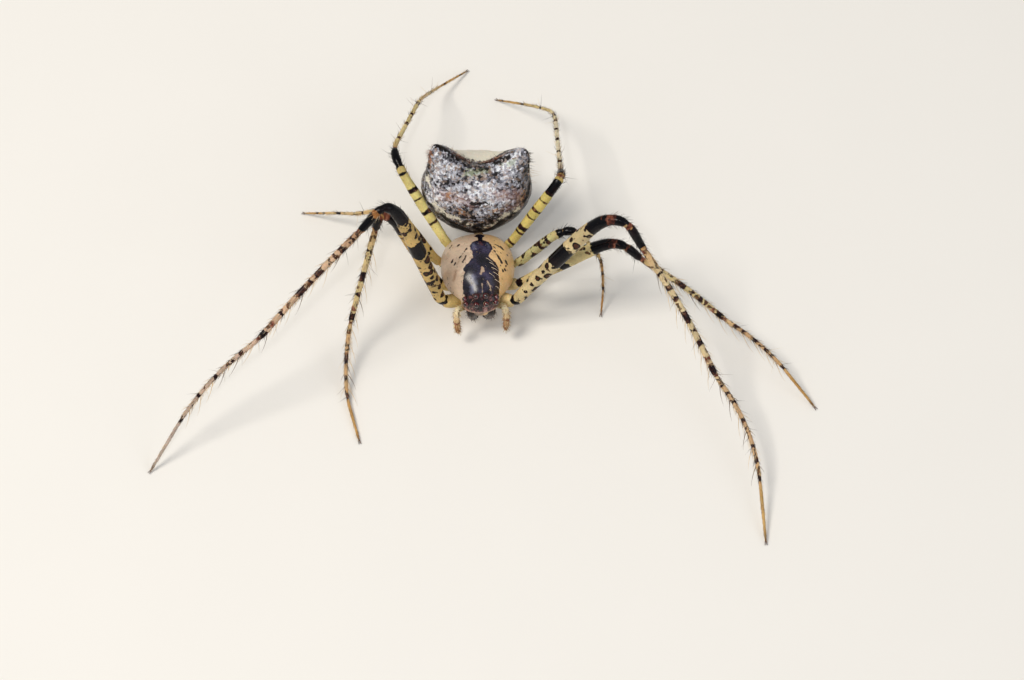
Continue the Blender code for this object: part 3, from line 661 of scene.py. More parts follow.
def legBristle(line, radii, side, i, turn, lean, length, thickness, bend, colour, chance):
    point = line[i][0]
    along = (line[min(i + 1, len(line) - 1)][0] - line[max(i - 1, 0)][0]).normalized()
    front = frontSide(along, side)
    over = front.cross(along) * side
    out = front * math.cos(turn) + over * math.sin(turn)
    lean = math.radians(lean)
    way = (along * math.cos(lean) + out * math.sin(lean)).normalized()
    aside = along.cross(out) * chance.uniform(-0.12, 0.12)
    root = point + out * (radii[i] - legCoat["sunk"])
    place = (0.02 + 0.96 * i / len(line), (turn / (2 * math.pi)) % 1.0 * 0.96 + 0.02)
    return root, (way + aside).normalized(), out * bend, length, thickness, linearColour(colour), place


def makeLegBristles(key, name, line, radii):
    sideName, number = key
    chance = random.Random(f"bristles {sideName} {number}")
    bristles = []
    for i, (_, segment, share) in enumerate(line[2:-2], 2):
        wanted = legCoat["perMm"][segment] * legs["step"]
        for _ in range(int(wanted) + (chance.random() < wanted % 1)):
            length = chance.uniform(*legCoat["length"][segment])
            lean = legCoat["lean"][segment] + chance.uniform(-10, 10)
            if segment == 1:      # longer towards the knee
                length *= 0.8 + 1.0 * smoothStep(0.7, 1.0, share)
                lean += 18 * smoothStep(0.75, 1.0, share)
            if segment in (2, 3, 4) and chance.random() < legCoat["longShare"]:
                length, lean = chance.uniform(*legCoat["longLength"]), legCoat["longLean"]
            colour = legCoat["brownHair" if chance.random() < legCoat["brownShare"] else "paleHair"]
            for marks, hair in ((rustMarks[number], "rustHair"), (blackMarks[key], "darkHair")):
                if markReach(marks, number, segment, share) > 0:
                    colour = legCoat[hair]
            turn = chance.uniform(0, 2 * math.pi)
            bristles.append(legBristle(line, radii, sides[sideName], i, turn, lean, length,
                                       legCoat["thickness"], legCoat["bend"], colour, chance))
    growBristles(f"{name}Bristles", bristles, bristleHorn)


def makeCatchingSpines(key, name, line, radii):
    sideName, number = key
    chance = random.Random(f"spines {sideName} {number}")
    side, shape = sides[sideName], spineShape
    bristles = []
    for segment, (start, end, longCount, shortCount) in spineRows[number].items():
        stretch = [i for i, sample in enumerate(line) if sample[1] == segment]
        step = (end - start) / (longCount - 1) / (shortCount + 1)
        low, high = shape["short"]
        places = []
        for k in range(longCount):
            here = start + (end - start) * k / (longCount - 1)
            places.append((here, shape["long"], shape["thickness"]))
            for m in range(shortCount if k else 0):     # they grow towards the next long one
                size = high - (high - low) * m / shortCount
                places.append((here - step * (m + 1), size, shape["shortThickness"]))
        for share, length, thickness in places:
            i = min(stretch, key=lambda j: abs(line[j][2] - share))
            turn = chance.uniform(-0.18, 0.18)
            colour = shape["dark" if chance.random() < shape["darkShare"] else "pale"]
            lean = shape["lean"] + chance.uniform(-4, 4)
            bristles.append(legBristle(line, radii, side, i, turn, lean, length * chance.uniform(0.9, 1.1),
                                       thickness, shape["bend"], colour, chance))
            if length == shape["long"]:             # a shorter one on the rear side
                length *= chance.uniform(0.40, 0.60)
                bristles.append(legBristle(line, radii, side, i, math.pi + turn, shape["lean"], length,
                                           thickness * 0.7, shape["bend"], colour, chance))
    growBristles(f"{name}CatchingSpines", bristles, bristleHorn)


def makeLegs():
    for key, line in legLines.items():
        name, radii = f"{key[0]}Leg{key[1]}", legRadii(line, key[1])
        makeLegSkin(key, name, line, radii)
        makeLegBristles(key, name, line, radii)
        if key[1] in spineRows:
            makeCatchingSpines(key, name, line, radii)


makeLegs()


# The front body: carapace, overhang, sternum
frontBody = {
    "margin": 1.08,
    # thorax, head and core: middle along the body, half length, half width, rise or depth
    "thorax": (0.22, 0.945, 0.885, 0.655), "fullness": 2.3,
    "back": (0.05, 1.075, 1.35),
    "head": (-0.50, 0.55, 0.465, 0.495),
    "rim": 0.06, "belowRim": 0.3,
    "core": (0.03, 1.075, 0.415, 0.335), "coreRoundness": 0.6,
    "plates": (      # sternum, lip, and the two plates beside it
        ((0.0, 0.15, 0.70), (0.33, 0.61, 0.075)), ((0.0, -0.55, 0.72), (0.115, 0.125, 0.065)),
        ((0.15, -0.68, 0.74), (0.095, 0.17, 0.08)), ((-0.15, -0.68, 0.74), (0.095, 0.17, 0.08)),
    ),
    "seatRise": 0.028, "seatSpread": 0.085,
    "grooves": (     # start, end, half width and depth
        ((0.03, 0.30), (0.05, 0.46), 0.055, 0.030),
        ((0.10, 0.16), (0.44, -0.24), 0.050, 0.014), ((-0.07, 0.16), (-0.42, -0.24), 0.050, 0.014),
        ((0.16, 0.34), (0.62, 0.22), 0.050, 0.009), ((-0.10, 0.34), (-0.58, 0.22), 0.050, 0.009),
        ((0.14, 0.52), (0.52, 0.62), 0.050, 0.009), ((-0.08, 0.52), (-0.48, 0.62), 0.050, 0.009),
    ),
}
frontPattern = {
    "outline": (     # y, and the dark mark's edges there
        (1.06, 0.08, 0.10), (1.01, 0.03, 0.16), (0.96, 0.02, 0.18), (0.93, -0.02, 0.22), (0.87, -0.03, 0.23),
        (0.83, 0.02, 0.18), (0.78, 0.045, 0.160), (0.69, 0.035, 0.170), (0.665, -0.02, 0.22),
        (0.62, -0.11, 0.31),
        (0.54, -0.155, 0.36), (0.40, -0.158, 0.370), (0.30, -0.13, 0.34), (0.22, -0.115, 0.29),
        (0.13, -0.111, 0.275), (0.06, -0.17, 0.33), (-0.05, -0.31, 0.44),
        (-0.13, -0.375, 0.49), (-0.22, -0.34, 0.485), (-0.30, -0.36, 0.46), (-0.40, -0.39, 0.49),
        (-0.57, -0.41, 0.48), (-0.68, -0.39, 0.46), (-0.80, -0.36, 0.42), (-0.92, -0.30, 0.36),
        (-1.05, -0.2, 0.25),
    ),
    "dash": (
        ((-0.64, 0.62), (-0.58, 0.68), 0.020), ((-0.45, 0.58), (-0.40, 0.64), 0.016),
        ((-0.43, 0.20), (-0.25, 0.42), 0.017), ((-0.36, 0.05), (-0.27, 0.21), 0.020),
        ((-0.61, 0.15), (-0.58, 0.22), 0.026), ((-0.57, 0.04), (-0.54, 0.10), 0.016),
        ((0.46, 0.56), (0.53, 0.50), 0.018), ((0.57, 0.52), (0.63, 0.42), 0.020),
        ((0.40, 0.48), (0.50, 0.32), 0.016), ((0.42, 0.33), (0.57, 0.02), 0.021),
        ((0.52, 0.36), (0.57, 0.28), 0.014), ((0.66, 0.12), (0.70, 0.04), 0.020),
        ((0.60, 0.16), (0.63, 0.10), 0.015), ((0.66, -0.04), (0.64, -0.14), 0.020),
        ((0.53, -0.06), (0.58, -0.20), 0.012), ((0.72, 0.30), (0.74, 0.24), 0.012),
    ),
    "pale": (
        ((0.045, -0.31), (0.085, -0.19), 0.016), ((0.11, -0.27), (0.09, -0.17), 0.016),
        ((0.07, -0.27), (0.09, -0.21), 0.022), ((0.055, -0.56), (0.040, -0.86), 0.010),
        ((0.19, -0.49), (0.24, -0.64), 0.016), ((0.24, -0.60), (0.25, -0.68), 0.018),
    ),
    # painted reflection: bluish grey streaks where the polished mark reflects the light
    "paintedSheen": (
        ((-0.16, -0.36), (-0.10, -0.52), 0.045), ((-0.20, -0.60), (-0.18, -0.72), 0.050),
        ((-0.08, 0.56), (-0.06, 0.40), 0.035), ((0.27, 0.56), (0.29, 0.44), 0.030),
    ),
    "rust": (((-0.60, -0.30), (-0.54, -0.12), 0.030), ((-0.50, 0.02), (-0.44, 0.12), 0.012),
             ((0.09, 0.62), (0.11, 0.54), 0.035)),
    # its pale ground, from the right edge to the left one: partly its own colour, partly painted light,
    # lighter and more orange on the left where the light falls
    "ground": ((0.05, "#d0b8a0"), (0.45, "#d8bfa6"), (0.75, "#e2bd8c"), (1.0, "#e6be84")),
}


def domeShape(y, middle, half, power):
    return max(0.0, 1.0 - abs((y - middle) / half) ** power) ** 0.5


def roundedMax(a, b):      # the larger of two widths, with a rounded valley where they meet
    return (a ** 6 + b ** 6) ** (1 / 6)


def frontBodyPoint(ball):
    thoraxY, thoraxLength, thoraxWidth, thoraxRise = frontBody["thorax"]
    backY, backLength, backSlope = frontBody["back"]
    headY, headLength, headWidth, headRise = frontBody["head"]
    coreY, coreLength, coreWidth, coreDepth = frontBody["core"]
    margin, rim, belowRim = frontBody["margin"], frontBody["rim"], frontBody["belowRim"]
    face, rear = headY - headLength, thoraxY + thoraxLength
    y = (face + rear) / 2 - ball.z * (rear - face) / 2
    head = domeShape(y, headY, headLength, 4)
    thorax = thoraxWidth * domeShape(y, thoraxY, thoraxLength, frontBody["fullness"])
    width = roundedMax(thorax, headWidth * head)
    rise = roundedMax(thoraxRise * domeShape(y, backY, backLength, 2) ** backSlope, headRise * head)
    angle = math.atan2(ball.y, ball.x)
    side = 1.0 if ball.x >= 0 else -1.0
    if angle >= 0:
        return Vector((width * math.cos(angle), y, margin + rise * math.sin(angle)))
    share = math.asin(min(1.0, -math.sin(angle))) / (math.pi / 2)
    dome = domeShape(y, coreY, coreLength, 4)
    core = min(width, coreWidth * dome)
    if share < belowRim:
        inward = share / belowRim
        return Vector((side * (width + (core - width) * inward), y, margin - rim * inward))
    turn = (share - belowRim) / (1 - belowRim) * math.pi / 2
    wide = core * math.cos(turn) ** frontBody["coreRoundness"]
    return Vector((side * wide, y, margin - rim - coreDepth * dome * math.sin(turn)))


def modelCarapace(point):      # raised seats under the eyes, and shallow grooves
    if point.z < frontBody["margin"]:
        return point
    out = (point - Vector((0, point.y * 0.75, 0.9))).normalized()
    rise = 0.0
    for place, _ in eyes.values():
        apart = min((point - Vector((side * place[0], place[1], place[2]))).length for side in (1, -1))
        rise += frontBody["seatRise"] * math.exp(-(apart / frontBody["seatSpread"]) ** 2)
    here = np.array([[point.x, point.y]])
    for start, end, half, depth in frontBody["grooves"]:
        apart = -strokeReach(here, ((start, end, 0.0),), -9.0)[0]
        rise -= depth * math.exp(-(apart / half) ** 2)
    return point + out * rise


def frontMarks(points):        # points of the front body before it is placed
    x, y, z = points.T
    margin = frontBody["margin"]
    above = z >= margin - 0.002
    stations, left, right = (np.array(column)[::-1] for column in zip(*frontPattern["outline"]))
    mark = np.minimum(x - np.interp(y, stations, left), np.interp(y, stations, right) - x)
    mark = np.where(above & (y < 1.05), np.clip(mark, farOutside, -farOutside), farOutside)
    # warm runs from the right edge to the left; on the ground it is partly its own colour and partly painted
    # light
    marks = {"mark": mark, "warm": np.clip(0.5 + x * 0.9, 0, 1)}
    for name in ("dash", "pale", "paintedSheen", "rust"):
        marks[name] = np.where(above, strokeReach(points[:, :2], frontPattern[name]), farOutside)
    spots = [(side * x, y, z) for (x, y, z), _ in eyes.values() for side in (1, -1)]
    marks["aroundEyes"] = strokeReach(points, [(spot, spot, 0.100) for spot in spots])
    marks["ocular"] = np.where(above, np.clip((-0.74 - y) / 0.08, 0, 1), 0)
    marks["rim"] = np.where(y < -0.6, 0.022 - np.abs(z - margin - 0.025), farOutside)
    marks["under"] = np.where(above, 0.0, 1.0)
    return marks


# Eyes: eight, each a polished dome
eyes = {
    "front_middle": ((0.120, -1.000, 1.40), 0.072),
    "rear_middle": ((0.115, -0.860, 1.55), 0.072),
    "front_side": ((0.354, -0.905, 1.32), 0.068),
    "rear_side": ((0.371, -0.815, 1.385), 0.068),
}
eyeRise = 0.12       # how far a lens's middle stands off the skin, in shares of its radius


def makeCarapaceCuticle():
    # Smooth spider cuticle, hard and polished by wax: the pale ground looks like fired clay, the mark like
    # lacquer
    material, tree, shader, here = newMaterial(
        "carapaceCuticle", 0.3, Coat_Weight=0.2, Coat_Roughness=0.18, Specular_IOR_Level=0.4,
        Subsurface_Weight=0.1, Subsurface_Scale=0.00012)
    marks = readMarks(tree, ("mark", "warm", "dash", "pale", "paintedSheen", "rust", "aroundEyes", "ocular", "rim",
                             "under"))
    ragged, clouds, grain = (addNode(tree, "TexNoise", {"Vector": here, "Scale": perMm(count), "Detail": 3.0})
                             for count in (9, 3, 22))
    fine = addNode(tree, "MapRange", {0: grain, 1: 0.3, 2: 0.7, 3: 0.9, 4: 1.08})
    cloudy = addNode(tree, "MapRange", {0: clouds, 1: 0.3, 2: 0.7, 3: 0.86, 4: 1.1})
    shade = addNode(tree, "Math", {0: fine, 1: cloudy}, operation="MULTIPLY")
    tear = addNode(tree, "MapRange", {0: ragged, 1: 0.3, 2: 0.7, 3: -0.022, 4: 0.022})
    # the ground is partly painted light: lighter and more orange towards the left edge, where the light falls
    ground = addNode(tree, "ValToRGB", {"Fac": marks["warm"]}, stops=frontPattern["ground"])
    skin = addNode(tree, "VectorMath", {0: ground, "Scale": shade}, operation="SCALE")
    skin, _ = lay(tree, skin, marks["rust"], tear, "#8d5f42", -0.02, 0.03, 0.6)
    skin, _ = lay(tree, skin, marks["dash"], tear, "#2b1a14", -0.006, 0.006)
    lacquer = addNode(tree, "ValToRGB", {"Fac": clouds}, stops=(
        (0.32, "#121019"), (0.46, "#1e1b29"), (0.58, "#2e2a40"), (0.70, "#45405a")))
    brownSide = addNode(tree, "MapRange", {0: marks["warm"], 1: 0.76, 2: 0.90})
    lacquer = addNode(tree, "Mix", {0: brownSide, 6: lacquer, 7: "#24110f"}, out=2, data_type="RGBA")
    # painted reflection: bluish grey streaks over the mark, standing for light that it reflects
    lacquer, _ = lay(tree, lacquer, marks["paintedSheen"], tear, "#7d82a0", -0.03, 0.05, 0.55)
    lacquer, _ = lay(tree, lacquer, marks["rust"], tear, "#5c3434", -0.02, 0.03, 0.8)
    skin, markMask = lay(tree, skin, marks["mark"], tear, lacquer, -0.008, 0.008)
    skin, _ = lay(tree, skin, marks["pale"], tear, "#bda48c", -0.010, 0.006, 0.9)
    # between the eyes: near black, clouded with dark red, with rose flecks that are painted highlights, and
    # rosy at the edge of the face
    mottleAndPaintedGlints = addNode(tree, "ValToRGB", {"Fac": ragged}, stops=(
        (0.40, "#0e0709"), (0.50, "#2a1215"), (0.60, "#6a3c3a"), (0.72, "#b98c84")))
    skin, _ = lay(tree, skin, marks["ocular"], 0.0, mottleAndPaintedGlints, 0.35, 0.65, 0.95)
    skin, _ = lay(tree, skin, marks["aroundEyes"], tear, "#150708", -0.02, 0.02, 0.95)
    skin, _ = lay(tree, skin, marks["rim"], tear, "#c9a08a", -0.01, 0.02, 0.85)
    # the under side: yellow-brown, clouded with grey
    belly = addNode(tree, "ValToRGB", {"Fac": clouds}, stops=(
        (0.38, "#7c6553"), (0.52, "#c79c62"), (0.64, "#dbb77e")))
    skin = addNode(tree, "Mix", {0: marks["under"], 6: skin, 7: belly}, out=2, data_type="RGBA")
    rough = addNode(tree, "MapRange", {0: markMask, 3: 0.40, 4: 0.27})
    rough = addNode(tree, "Math", {0: rough, 1: fine}, operation="MULTIPLY")
    bump = addNode(tree, "Bump", {"Height": grain, "Strength": 0.3, "Distance": 0.006 * metre})
    setInputs(shader, {"Base Color": skin, "Roughness": rough, "Normal": bump})
    return material


carapaceCoat = {
    "count": 170, "length": (0.06, 0.13), "thickness": 0.005, "lean": 1.1, "sunk": 0.008,
    "dark": "#2a1a14", "pale": "#cdb594", "paleShare": 0.2,
    # the long pale ones on the left half of the mark: root, and length
    "bright": (((0.20, 0.10), 0.24), ((0.27, -0.02), 0.26), ((0.30, -0.14), 0.24), ((0.33, -0.26), 0.22),
               ((0.36, -0.42), 0.24), ((0.38, -0.56), 0.20), ((0.24, -0.30), 0.18)),
    "brightHair": "#f1dcc0", "brightThickness": 0.0085,
}


def carapaceBristles(middles, normals, areas):
    # Blender lists a ball's faces in another order each run, so they are sorted by place first
    order = np.lexsort(np.round(middles, 4).T)
    middles, normals, areas = middles[order], normals[order], areas[order]
    chance = np.random.default_rng(11)
    spot = np.where((middles[:, 2] > frontBody["margin"] + 0.05), areas, 0)
    spot *= 0.15 + np.exp(-(middles[:, 0] / 0.30) ** 2) * (middles[:, 1] < 0.4)
    bristles = []

    def grow(face, way, bend, length, thickness, colour, x, y):
        root = frontPlace(middles[face] - normals[face] * carapaceCoat["sunk"])
        turned = headTurn.to_3x3()
        bristles.append((root, turned @ way.normalized(), turned @ bend, length, thickness,
                         linearColour(colour), (0.5 + x * 0.45, 0.5 + y * 0.4)))

    for face in chance.choice(len(areas), carapaceCoat["count"], p=spot / spot.sum()):
        forward = Vector((chance.normal(0, 0.35), -1.0, 0.1))
        colour = carapaceCoat["pale" if chance.random() < carapaceCoat["paleShare"] else "dark"]
        grow(face, Vector(normals[face]) + forward * carapaceCoat["lean"], forward * 0.25,
             chance.uniform(*carapaceCoat["length"]), carapaceCoat["thickness"], colour, *middles[face][:2])
    for (x, y), length in carapaceCoat["bright"]:
        face = np.argmin(np.hypot(middles[:, 0] - x, middles[:, 1] - y) + (middles[:, 2] < 1.2) * 9)
        grow(face, Vector(normals[face]) * 0.55 + Vector((0.75, -0.65, 0.0)), Vector((0.05, -0.35, -0.12)),
             length, carapaceCoat["brightThickness"], carapaceCoat["brightHair"], x, y)
    return bristles


def makeFrontBody():
    bm = bmesh.new()
    ball = bmesh.ops.create_uvsphere(bm, u_segments=208, v_segments=176, radius=1.0)["verts"]
    for vert in ball:
        vert.co = modelCarapace(frontBodyPoint(vert.co))
    for middle, size in frontBody["plates"]:
        plate = bmesh.ops.create_uvsphere(bm, u_segments=40, v_segments=24, radius=1.0)["verts"]
        for vert in plate:
            vert.co = Vector(m + s * c for m, s, c in zip(middle, size, vert.co))
    mesh = meshFrom("frontBody", bm)
    stampMarks(mesh, frontMarks(np.array([vert.co for vert in mesh.vertices])))
    bristles = carapaceBristles(*facesOf(mesh))
    mesh.transform(Matrix.Translation(bodyPlace) @ headTurn)
    skin = addPiece("frontBody", mesh, makeCarapaceCuticle(), ["prosoma"])
    growBristles("carapaceBristles", bristles, bristleHorn)
    return skin


def makeEyeLens():
    # Clear cuticle over a dark red retina, polished: a wet, deep red bead with a near black middle
    material, tree, shader, here = newMaterial(
        "eyeLens", 0.10, IOR=1.42, Coat_Weight=1.0, Coat_IOR=1.5, Coat_Roughness=0.06)
    fromAxis = readMarks(tree, ("fromAxis",))["fromAxis"]
    cloud = addNode(tree, "TexNoise", {"Vector": here, "Scale": perMm(18), "Detail": 2.0})
    stir = addNode(tree, "MapRange", {0: cloud, 1: 0.3, 2: 0.7, 3: -0.08, 4: 0.08})
    depth = addNode(tree, "Math", {0: fromAxis, 1: stir}, operation="ADD")
    colour = addNode(tree, "ValToRGB", {"Fac": depth}, stops=(
        (0.08, "#12030a"), (0.24, "#33080c"), (0.38, "#63151a"), (0.52, "#3a0a10"), (0.75, "#120405")))
    setInputs(shader, {"Base Color": colour})
    return material


def makeEyes(skin):
    eyeLens = makeEyeLens()
    surface = BVHTree.FromPolygons([vert.co / metre for vert in skin.data.vertices],
                                   [face.vertices for face in skin.data.polygons])
    for name, (place, radius) in eyes.items():
        for sideName, side in sides.items():
            spot, normal, _, _ = surface.find_nearest(frontPlace(place, side))
            middle = spot + normal * radius * eyeRise
            bm = bmesh.new()
            fromAxis = bm.verts.layers.float.new("fromAxis")
            lens = bmesh.ops.create_uvsphere(bm, u_segments=40, v_segments=28, radius=radius)["verts"]
            for vert in lens:
                vert[fromAxis] = math.acos(max(-1.0, min(1.0, vert.co.normalized().dot(normal)))) / math.pi
                vert.co += middle
            pieceName = sideName + name.title().replace("_", "") + "Eye"
            finishPiece(pieceName, bm, eyeLens, [f"{sideName}_{name}_eye"])


makeEyes(makeFrontBody())


# Mouth parts: jaws, fangs, and the pedipalps, which are small legs of pale amber
mouthParts = {
    "chelicera": (((0.21, -0.76, 1.14), 0.105), ((0.23, -0.90, 0.98), 0.125), ((0.22, -0.90, 0.78), 0.115),
                  ((0.17, -0.83, 0.52), 0.080)),
    "fang": (((0.17, -0.83, 0.54), 0.052), ((0.14, -0.78, 0.41), 0.040), ((0.08, -0.71, 0.34), 0.024),
             ((0.05, -0.65, 0.33), 0.008)),
    "pedipalp": (((0.22, -0.66, 0.74), 0.065), ((0.40, -0.75, 0.87), 0.060), ((0.52, -0.84, 0.99), 0.078),
                 ((0.58, -0.94, 1.00), 0.074), ((0.60, -1.03, 0.90), 0.072), ((0.59, -1.09, 0.72), 0.080),
                 ((0.58, -1.14, 0.56), 0.072), ((0.57, -1.18, 0.43), 0.038)),
    "palpJoints": (0.14, 0.40, 0.55, 0.74), "palpPinch": 0.20, "palpPinchLength": 0.022,
    # the third of these colours, near white at the patella, is partly its own pale colour and partly a
    # painted highlight
    "palpColours": ("#cdb878", "#d8c890", "#e6dab6", "#d4b486", "#a87c54", "#7d5434"),
    "palpRust": ((0.66, 0.02), (0.86, 0.03), (0.97, 0.03)),
    "palpMarks": {"black": farOutside, "spots": -0.02, "torn": 1.0, "brown": 0.0, "round": farOutside},
    "palpCoat": 3, "palpHair": ((0.05, 0.12), "#8a6238", "#e9d6a8"),
    "jawCoat": 2, "jawHair": ((0.05, 0.12), "#2a1a12", "#4a3222"),
}
limbCoat = {"lean": (35, 60), "thickness": 0.006, "bend": -0.1}      # of jaws, palps and spinnerets


def makeJawCuticle():
    # Thick dark cuticle of the jaws, polished like a beetle's, browner where it is thin
    material, tree, shader, here = newMaterial("jawCuticle", 0.24, Coat_Weight=0.3, Coat_Roughness=0.12,
                                               Specular_IOR_Level=0.25)
    clouds, grain = (addNode(tree, "TexNoise", {"Vector": here, "Scale": perMm(count), "Detail": detail})
                     for count, detail in ((4, 3.0), (30, 2.0)))
    colour = addNode(tree, "ValToRGB", {"Fac": clouds}, stops=(
        (0.30, "#0c0707"), (0.50, "#1d100c"), (0.66, "#422716")))
    bump = addNode(tree, "Bump", {"Height": grain, "Strength": 0.25, "Distance": 0.005 * metre})
    setInputs(shader, {"Base Color": colour, "Normal": bump})
    return material


def smoothPath(stations, side, steps):      # through the stations, by a Catmull-Rom curve
    curve = [(frontPlace(place, side), radius) for place, radius in stations]
    points, radii = [], []
    for i in range(len(curve) - 1):
        near = [curve[max(0, min(len(curve) - 1, i + k))] for k in (-1, 0, 1, 2)]
        start, end = near[1][1], near[2][1]
        for k in range(steps):
            t = k / steps
            weights = (-t + 2 * t * t - t ** 3, 2 - 5 * t * t + 3 * t ** 3,
                       t + 4 * t * t - 3 * t ** 3, -t * t + t ** 3)
            points.append(sum((p * w / 2 for (p, _), w in zip(near, weights)), Vector()))
            radii.append(start + (end - start) * smoothStep(0, 1, t))
    points.append(curve[-1][0])
    radii.append(curve[-1][1])
    return points, closeEnds(radii)


def coatLimb(name, path, radii, side, perRing, hair, rings):
    chance = random.Random(name)
    lengths, dark, pale = hair
    line = [(point, 0, 0.0) for point in path]
    bristles = []
    for i in rings:
        for _ in range(perRing):
            turn, lean = chance.uniform(0, 2 * math.pi), chance.uniform(*limbCoat["lean"])
            length, colour = chance.uniform(*lengths), chance.choice((dark, pale))
            bristles.append(legBristle(line, radii, side, i, turn, lean, length, limbCoat["thickness"],
                                       limbCoat["bend"], colour, chance))
    growBristles(name, bristles, bristleHorn)


def makePalp(sideName, side):
    path, radii = smoothPath(mouthParts["pedipalp"], side, 14)
    shares = [i / (len(path) - 1) for i in range(len(path))]
    for i, share in enumerate(shares):
        for joint in mouthParts["palpJoints"]:
            near = math.exp(-((share - joint) / mouthParts["palpPinchLength"]) ** 2)
            radii[i] *= 1 - mouthParts["palpPinch"] * near
    colours = [linearColour(code) for code in mouthParts["palpColours"]]
    tints = []
    for share in shares:
        place = min(share * (len(colours) - 1), len(colours) - 1.001)
        a, b = colours[int(place)], colours[int(place) + 1]
        tints.append(tuple(p + (q - p) * (place % 1) for p, q in zip(a, b)))
    rust = [max(half - abs(share - place) for place, half in mouthParts["palpRust"]) for share in shares]
    still = {name: [value] * len(path) for name, value in mouthParts["palpMarks"].items()}
    bm = bmesh.new()
    wrapLimb(bm, path, radii, 28, newStamps(bm, {"tint": tints, "rust": rust, **still}))
    finishPiece(sideName + "Pedipalp", bm, legCuticle, [f"{sideName}_pedipalp"])
    coatLimb(f"{sideName}PalpBristles", path, radii, side, mouthParts["palpCoat"], mouthParts["palpHair"],
             range(24, len(path) - 3))


def makeMouthParts():
    jawCuticle = makeJawCuticle()
    for sideName, side in sides.items():
        for name, slot in (("chelicera", "jaw"), ("fang", "fang")):
            path, radii = smoothPath(mouthParts[name], side, 12)
            bm = bmesh.new()
            wrapLimb(bm, path, radii, 32)
            finishPiece(sideName + name.title(), bm, jawCuticle, [f"{sideName}_{name}"])
            if name == "chelicera":
                coatLimb(f"{sideName}JawBristles", path, radii, side, mouthParts["jawCoat"],
                         mouthParts["jawHair"], range(8, len(path) - 4))
        makePalp(sideName, side)


makeMouthParts()


# The rear body: an upright egg with two humps and a saddle between them, and the waist
rearBody = {
    "middle": (-0.05, 2.01, 1.78), "size": (1.325, 0.905, 1.135), "shoulderTaper": 0.05,
    "bumps": (          # direction, rise and spread of each swelling or hollow
        ((0.59, 0.20, 0.79), 0.59, 0.38), ((-0.46, 0.20, 0.86), 0.66, 0.40), ((0.0, 0.30, 0.95), -0.34, 0.36),
        ((0.04, 0.62, 0.78), -0.10, 0.40), ((0.0, -0.85, -0.50), 0.09, 0.60),
        ((0.0, 0.55, -0.83), 0.16, 0.45),
    ),
    "grains": ((3.2, 0.020), (7.5, 0.012), (14.0, 0.006)),      # repeats in a millimetre, and height
    # crust and longer fuzz on the humps, with the heights where each begins and is full
    "humpCrust": 0.035, "crustHeights": (2.8, 3.2), "humpFuzz": (2.75, 3.1),
    "pedicel": ((0.0, 0.80, 0.92), (0.0, 1.55, 0.96)), "pedicelThickness": 0.12,
}
